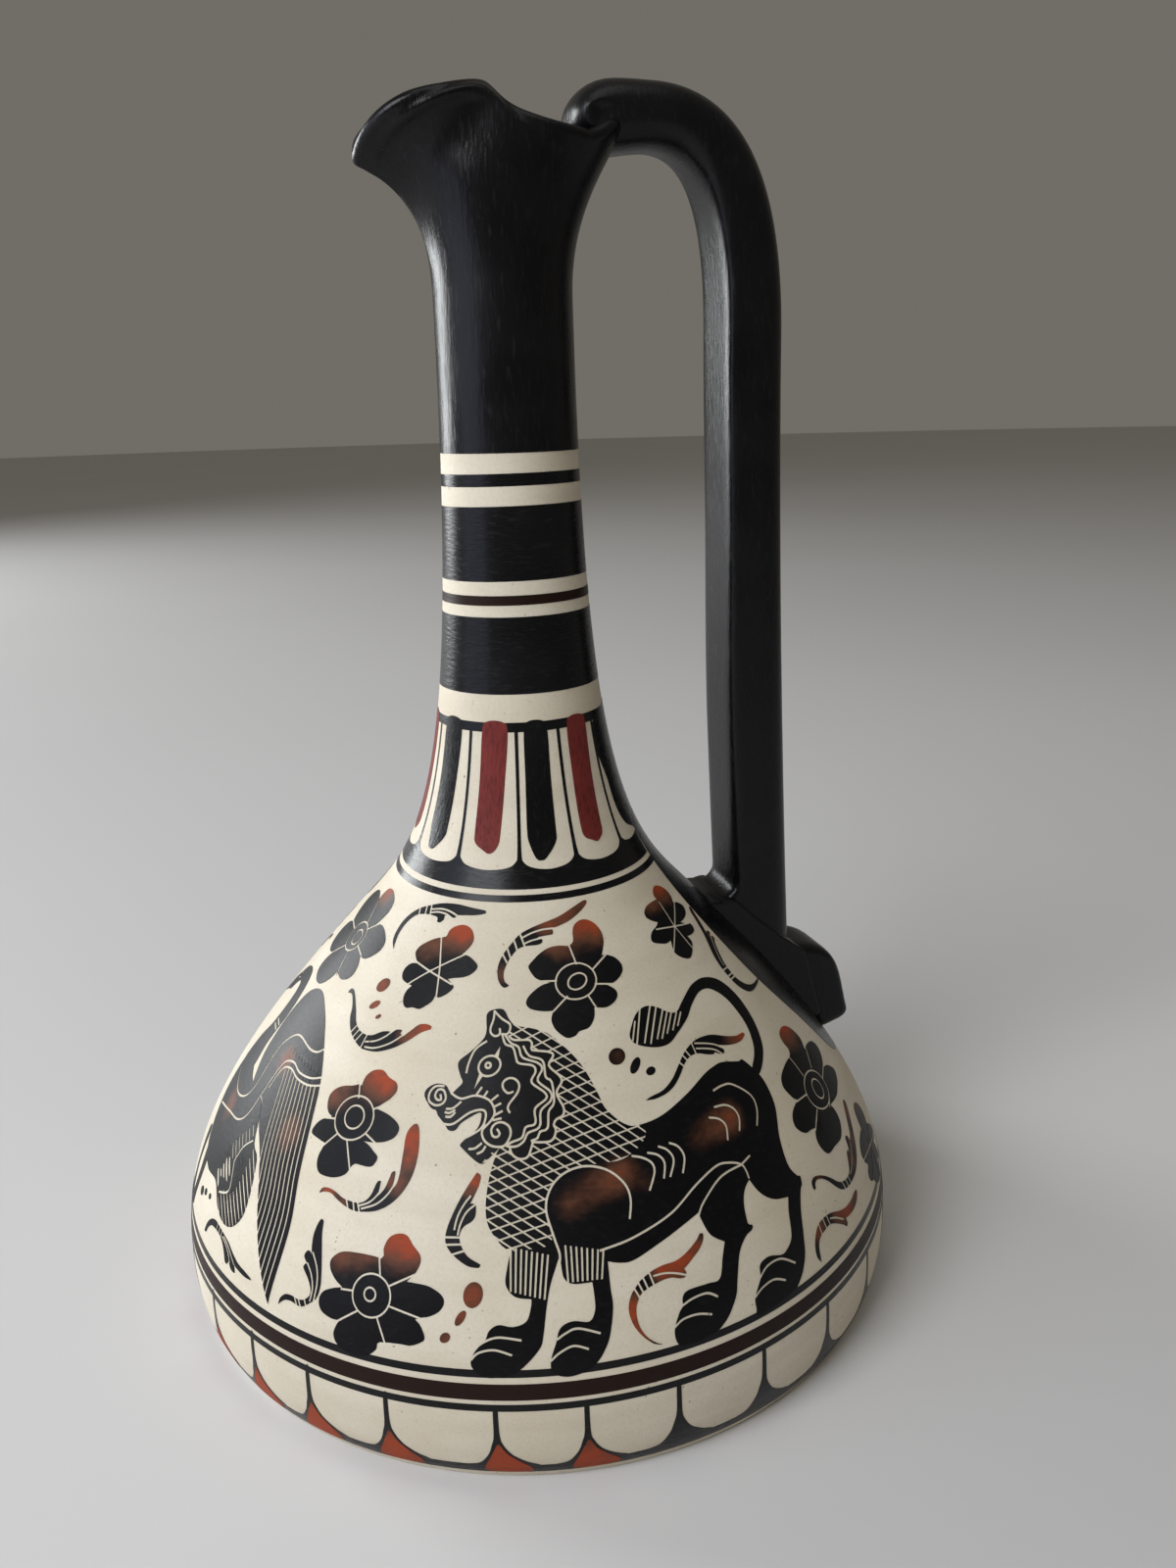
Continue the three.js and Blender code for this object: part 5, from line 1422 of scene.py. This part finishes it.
def black_mouth(material):
    """The black top of the neck and the pinched mouth, outside and inside."""
    start = WALL.run_at(BLACK_FROM)
    runs = wall_rows(start, WALL.runs[-1], THROAT_ROWS)[:-1]

    def place(row, angle):
        turn = angle + math.pi
        if row < len(runs):
            return wall_point(angle, runs[row], PATCH_LIFT)
        row -= len(runs)
        if row <= MOUTH_ROWS:
            share = row / MOUTH_ROWS
            out, _ = mouth_frame(turn, share)
            return (mouth_point(turn, share) + out * (PATCH_LIFT + rim_roll(turn, share))) * MM
        row -= MOUTH_ROWS + 1
        if row < LIP_ROWS:
            out, up = mouth_frame(turn, 1)
            bend = math.pi * (row + 1) / (LIP_ROWS + 1)
            half = LIP_WALL / 2
            spot = mouth_point(turn, 1) - out * half
            return (spot + out * (half * math.cos(bend)) + up * (half * math.sin(bend))) * MM
        row -= LIP_ROWS
        if row <= MOUTH_ROWS:
            share = 1 - row / MOUTH_ROWS
            out, _ = mouth_frame(turn, share)
            return (mouth_point(turn, share) - out * mixed(NECK_WALL, LIP_WALL, share)) * MM
        row -= MOUTH_ROWS + 1
        point = inner_point(runs[len(runs) - 1 - row])
        return Vector((point.x * math.cos(angle), point.x * math.sin(angle), point.y)) * MM

    rows = 2 * len(runs) + 2 * (MOUTH_ROWS + 1) + LIP_ROWS
    bm = spun(rows, MOUTH_STEPS, place, True)
    shade(bm, SHAPED_CREASE)
    piece("black_mouth", bm, material, "black_slip", "pinched_mouth")


def squared(value, sharp):
    """A sine or cosine drawn out towards the corners of a section."""
    return math.copysign(abs(value) ** (2 / sharp), value)


def swept(path, stations, section):
    """A closed strip along a path.

    The section tells the half width, how far out from the path the strip is widest, and from there
    the reach and corner outwards and the reach and corner inwards.
    """
    across = Vector((0, -1, 0))

    def place(row, turn):
        spot, along = path.at(stations[row])
        wide, shift, outer, outer_corner, inner, inner_corner = section(stations[row])
        c, s = math.cos(turn), math.sin(turn)
        reach, corner = (outer, outer_corner) if s > 0 else (inner, inner_corner)
        return (spot + across * (squared(c, corner) * wide)
                + along.cross(across) * (shift + squared(s, corner) * reach)) * MM

    bm = spun(len(stations), STRIP_STEPS, place, False)
    edges = [edge for edge in bm.edges if edge.is_boundary]
    if edges:
        bmesh.ops.holes_fill(bm, edges=edges)
    bmesh.ops.recalc_face_normals(bm, faces=bm.faces[:])
    return bm


def round_stations(whole, first, last, count):
    """Distances along a strip, closer together in its rounded ends."""
    bends = [1 - math.cos(math.pi / 2 * i / ROUND_ROWS) for i in range(ROUND_ROWS)]
    middle = [mixed(first, whole - last, i / count) for i in range(count + 1)]
    return [first * b for b in bends if first] + middle + [whole - last * b for b in reversed(bends)]


def rounding(left, reach):
    """Share of the full size where this much is left of a strip with a rounded end."""
    past = max(0, 1 - left / reach)
    return math.sqrt(max(1 - past * past, 0))


def handle_path():
    """Middle line of the strap, from its seat on the shoulder over the crown to its free end."""
    point, _ = WALL.at(WALL.run_at(SHOULDER_HEIGHT) - SEAT_DISTANCE)
    seat = Vector((point.x, 0, point.y))
    crown = Vector((CROWN_REACH, 0, CROWN_HEIGHT))
    arch = Vector((HANDLE_REACH, 0, ARCH_START))
    end = Vector((END_REACH, 0, END_HEIGHT))
    bend = Vector(((CROWN_REACH + END_REACH) / 2, 0, CROWN_HEIGHT))
    grip = Vector(((seat.x + HANDLE_REACH) / 2, 0, seat.z + GRIP_RUN))
    return Path([
        (seat, grip, arch - Vector((0, 0, GRIP_RUN)), arch),
        (arch, arch + Vector((0, 0, ARCH_RUN)), crown + Vector((CROWN_RUN, 0, 0)), crown),
        bent(crown, bend, end),
    ], PATH_STEPS)


def press_marks(bm):
    """Two finger dents in the sides of the handle's upper end."""
    for vert in bm.verts:
        away = Vector((vert.co.x / MM - MARK_PLACE.x, vert.co.z / MM - MARK_PLACE.z)).length
        if away < MARK_RADIUS:
            limit = MARK_PLACE.y - math.sqrt(MARK_RADIUS ** 2 - away ** 2)
            vert.co.y = min(max(vert.co.y, -limit * MM), limit * MM)


def strap_handle(material):
    """The strap: flat towards the neck, ridged along its sides and rounded behind."""
    path = handle_path()
    whole = path.runs[-1]
    arch_at = path.runs[PATH_STEPS - 1]
    crown_at = path.runs[2 * (PATH_STEPS - 1)]

    def section(distance):
        thick = GRIP_THICKNESS
        if distance > crown_at:
            thick = mixed(CROWN_THICKNESS, END_THICKNESS, (distance - crown_at) / (whole - crown_at))
        elif distance > arch_at:
            thick = mixed(GRIP_THICKNESS, CROWN_THICKNESS, (distance - arch_at) / (crown_at - arch_at))
        size = rounding(whole - distance, END_ROUND)
        wide = HANDLE_WIDTH / 2 * math.sqrt(rounding(whole - distance, END_BLUNT))
        flare = min(FOOT_FLARE * (max(FOOT_HEIGHT - distance, 0) / FOOT_RUN) ** 2, FOOT_LIMIT)
        swell = GRIP_SWELL * (1 - eased(distance, arch_at * SWELL_FROM, arch_at * SWELL_TO))
        knob = eased(distance, arch_at, crown_at)
        face = mixed(FACE_DEPTH, thick / 2, knob)
        return (wide, (face - thick / 2) * size,
                (thick - face) * size, mixed(GRIP_BACK, CROWN_BACK, knob),
                (face + swell + flare) * size, mixed(GRIP_FACE, CROWN_FACE, knob))

    bm = swept(path, round_stations(whole, 0, END_ROUND, STRAP_ROWS), section)
    press_marks(bm)
    shade(bm, SHAPED_CREASE)
    piece("strap_handle_clay", bm, material, "black_slip", "strap_handle")


def inside_wall(height):
    """A point of the side view just inside the wall, where the plank's side enters it."""
    radius = WALL.at(WALL.run_at(height))[0].x - ROOT_SUNK
    return math.sqrt(radius ** 2 - (ROOT_WIDTH / 2) ** 2), height


# Side view of the plank from the shoulder down to the fold where the tail begins, the heights of its
# edge inside the wall, and the tail's middle line
PLANK_TOP = [(36.4, 66.6), (38.8, 66.8), (40.8, 65.1), (44.4, 61.6), (48.6, 58.1), (51.0, 56.2),
             (53.9, 54.0)]
PLANK_FOLD = [(54.3, 53.4), (55.2, 50.2), (56.5, 45.0), (57.9, 39.7)]
PLANK_INSIDE = [38.6, 44, 50, 56, 62, 66.4]
TAIL_SPAN = [(52.2, 50.3), (60.6, 50.2), (58.6, 46.0), (62.0, 35.2)]


def root_plank(material):
    """The slanted plank of clay that fills the corner between strap and shoulder."""
    inside = [inside_wall(height) for height in PLANK_INSIDE]
    bm = bmesh.new()
    loop = [bm.verts.new((p.x * MM, -ROOT_WIDTH / 2 * MM, p.y * MM))
            for p in smooth(cornered([PLANK_TOP, PLANK_FOLD, inside]), closed=True)]
    side = bm.faces.new(loop)
    made = bmesh.ops.extrude_face_region(bm, geom=[side])["geom"]
    bmesh.ops.translate(bm, verts=[v for v in made if isinstance(v, bmesh.types.BMVert)],
                        vec=(0, ROOT_WIDTH * MM, 0))
    rims = [edge for edge in bm.edges if abs(edge.verts[0].co.y - edge.verts[1].co.y) < WELD]
    bmesh.ops.bevel(bm, geom=rims, offset=ROOT_EDGE * MM, offset_type="OFFSET", affect="EDGES",
                    segments=3, profile=0.5, material=-1, clamp_overlap=True)
    bmesh.ops.recalc_face_normals(bm, faces=bm.faces[:])
    shade(bm, SHAPED_CREASE)
    # Only the two flat sides have more than four corners
    for face in bm.faces:
        face.smooth = len(face.verts) <= 4
    piece("root_plank", bm, material, "black_slip", "handle_root")


def root_tail(material):
    """The thick tail that bends down from the plank's lower end."""
    path = Path([[Vector((x, 0, z)) for x, z in TAIL_SPAN]], PATH_STEPS)
    whole = path.runs[-1]
    half = TAIL_THICKNESS / 2

    def section(distance):
        size = rounding(distance, TAIL_START) * rounding(whole - distance, TAIL_ROUND)
        return (TAIL_WIDTH / 2 * math.sqrt(size), 0,
                half * size, TAIL_CORNER, half * size, TAIL_CORNER)

    bm = swept(path, round_stations(whole, TAIL_START, TAIL_ROUND, TAIL_ROWS), section)
    shade(bm, SHAPED_CREASE)
    piece("root_tail", bm, material, "black_slip", "handle_tail")


# Stage, with the camera where the photo's stood

CAMERA_PLACE = Vector((-58.1, -216.8, 158.9))
CAMERA_HEADING = math.radians(72)
CAMERA_PITCH = math.radians(16.55)
CAMERA_ROLL = math.radians(-1.6)
LENS = 29.39
SENSOR = 36
NEAR = 0.01

# Lamps, all turned to the middle of the jug: place and size in metres, watts, colour
JUG_MIDDLE = Vector((0, 0, 0.1))
LAMPS = [
    ("window", (-0.63, -0.38, 0.68), 0.5, 5.9, (0.94, 0.97, 1.0)),
    ("left_wall", (-1.08, -0.19, 0.47), 0.9, 4.4, (0.70, 0.76, 1.0)),
    ("back_window", (-1.19, 1.28, 0.46), 0.8, 25, (0.95, 0.98, 1.0)),
    ("ceiling", (0.0, -0.3, 1.2), 0.7, 1.6, (1.0, 0.99, 0.97)),
]
ROOM = rgb(0.92, 0.86, 0.75)
ROOM_LIGHT = 0.18
FLOOR_RADIUS = 6
FLOOR_GREY = rgb(0.60, 0.59, 0.58)
FLOOR_PALE = rgb(0.65, 0.64, 0.63)


def camera():
    data = bpy.data.cameras.new("view")
    data.lens = LENS
    data.sensor_width = SENSOR
    data.clip_start = NEAR
    level = math.cos(CAMERA_PITCH)
    forward = Vector((math.cos(CAMERA_HEADING) * level, math.sin(CAMERA_HEADING) * level,
                      -math.sin(CAMERA_PITCH)))
    aside = Vector((math.sin(CAMERA_HEADING), -math.cos(CAMERA_HEADING), 0))
    right = aside * math.cos(CAMERA_ROLL) + aside.cross(forward) * math.sin(CAMERA_ROLL)
    up = right.cross(forward)
    obj = bpy.data.objects.new("view", data)
    bpy.context.scene.collection.objects.link(obj)
    turn = Matrix((right, up, -forward)).transposed()
    obj.matrix_world = Matrix.Translation(CAMERA_PLACE * MM) @ turn.to_4x4()
    bpy.context.scene.camera = obj


def lamp(name, place, size, watts, colour):
    """A soft square lamp turned to the jug."""
    data = bpy.data.lights.new(name, "AREA")
    data.energy = watts
    data.size = size
    data.color = colour
    obj = bpy.data.objects.new(name, data)
    bpy.context.scene.collection.objects.link(obj)
    obj.location = place
    obj.rotation_mode = "QUATERNION"
    obj.rotation_quaternion = (JUG_MIDDLE - Vector(place)).to_track_quat("-Z", "Y")


def floor():
    """The plain pale floor that the jug stands on."""
    bm = bmesh.new()
    bmesh.ops.create_circle(bm, cap_ends=True, segments=STRIP_STEPS, radius=FLOOR_RADIUS)
    mesh = bpy.data.meshes.new("floor")
    bm.to_mesh(mesh)
    bm.free()
    f = Finish("floor_paper")
    mesh.materials.append(f.set(
        Base_Color=f.blend(f.noise(400, 2), FLOOR_GREY, FLOOR_PALE), Roughness=0.9))
    obj = bpy.data.objects.new("floor", mesh)
    bpy.context.scene.collection.objects.link(obj)
    obj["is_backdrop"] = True


def studio():
    scene = bpy.context.scene
    scene.view_settings.view_transform = "Standard"
    world = bpy.data.worlds.new("studio")
    world.use_nodes = True
    room = world.node_tree.nodes["Background"]
    room.inputs["Color"].default_value = ROOM
    room.inputs["Strength"].default_value = ROOM_LIGHT
    scene.world = world
    for values in LAMPS:
        lamp(*values)
    floor()


def bands(red):
    """Rings round the jug, tongues on the neck and at the foot, and the black round the handle's root."""
    black = black_slip("ring_slip", (0.5, 0.5, 2.2))
    ring_film("black_rings", RINGS, black)
    ring_film("brown_rings", BROWN_RINGS, brown_slip())
    bar = black_slip("bar_slip", (2.4, 2.4, 0.5))
    patch = black_slip("patch_slip", (1, 1, 1))
    band = Band()
    for name, drawing, material, lift in (
            ("tongue_frame", tongue_frame(), black, TONGUE_LIFT),
            ("black_bars", hanging_bars(BLACK_BARS), bar, FIGURE_LIFT),
            ("red_bars", hanging_bars(RED_BARS), red_slip(), FIGURE_LIFT),
            ("base_spandrels", base_spandrels(), black, TONGUE_LIFT),
            ("base_reds", base_reds(), red, RED_LIFT),
            ("root_patch", root_patch(), patch, PATCH_LIFT)):
        film(name, [(drawing, band)], material, lift)


def laid(motifs, flip=1):
    """Each motif with the chart that it is drawn in."""
    return [(motif(*shape), Chart(*chart, flip)) for chart, *shape in motifs]


def figures(slip):
    """Animals, rosettes and scrolls; the back mirrors the front, without the bird and its rosette."""
    for name, flip, rosettes in (("front", 1, ROSETTES), ("back", -1, ROSETTES[1:])):
        chart = Chart(*FRONT, flip)
        film("lion_" + name, [(lion(), chart)], slip, FIGURE_LIFT)
        film("rosettes_" + name, laid(rosettes, flip), slip, FIGURE_LIFT)
        film("scrolls_" + name, [*laid(SCROLLS, flip), (dots(), chart)], slip, FIGURE_LIFT)
    film("bird", [(bird(), Chart(*LEFT)), *laid([LEFT_SCROLL])], slip, FIGURE_LIFT)


def corners(box):
    return [list(corner) for corner in box]


camera()
studio()
clay_body(cream_slip())
brushed = black_slip("mouth_slip", (2.2, 2.2, 0.35))
black_mouth(brushed)
strap_handle(brushed)
root_plank(brushed)
root_tail(brushed)
painted = figure_slip()
bands(painted)
figures(painted)

{"cad": corners(cad_box), "visual": corners(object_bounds())}
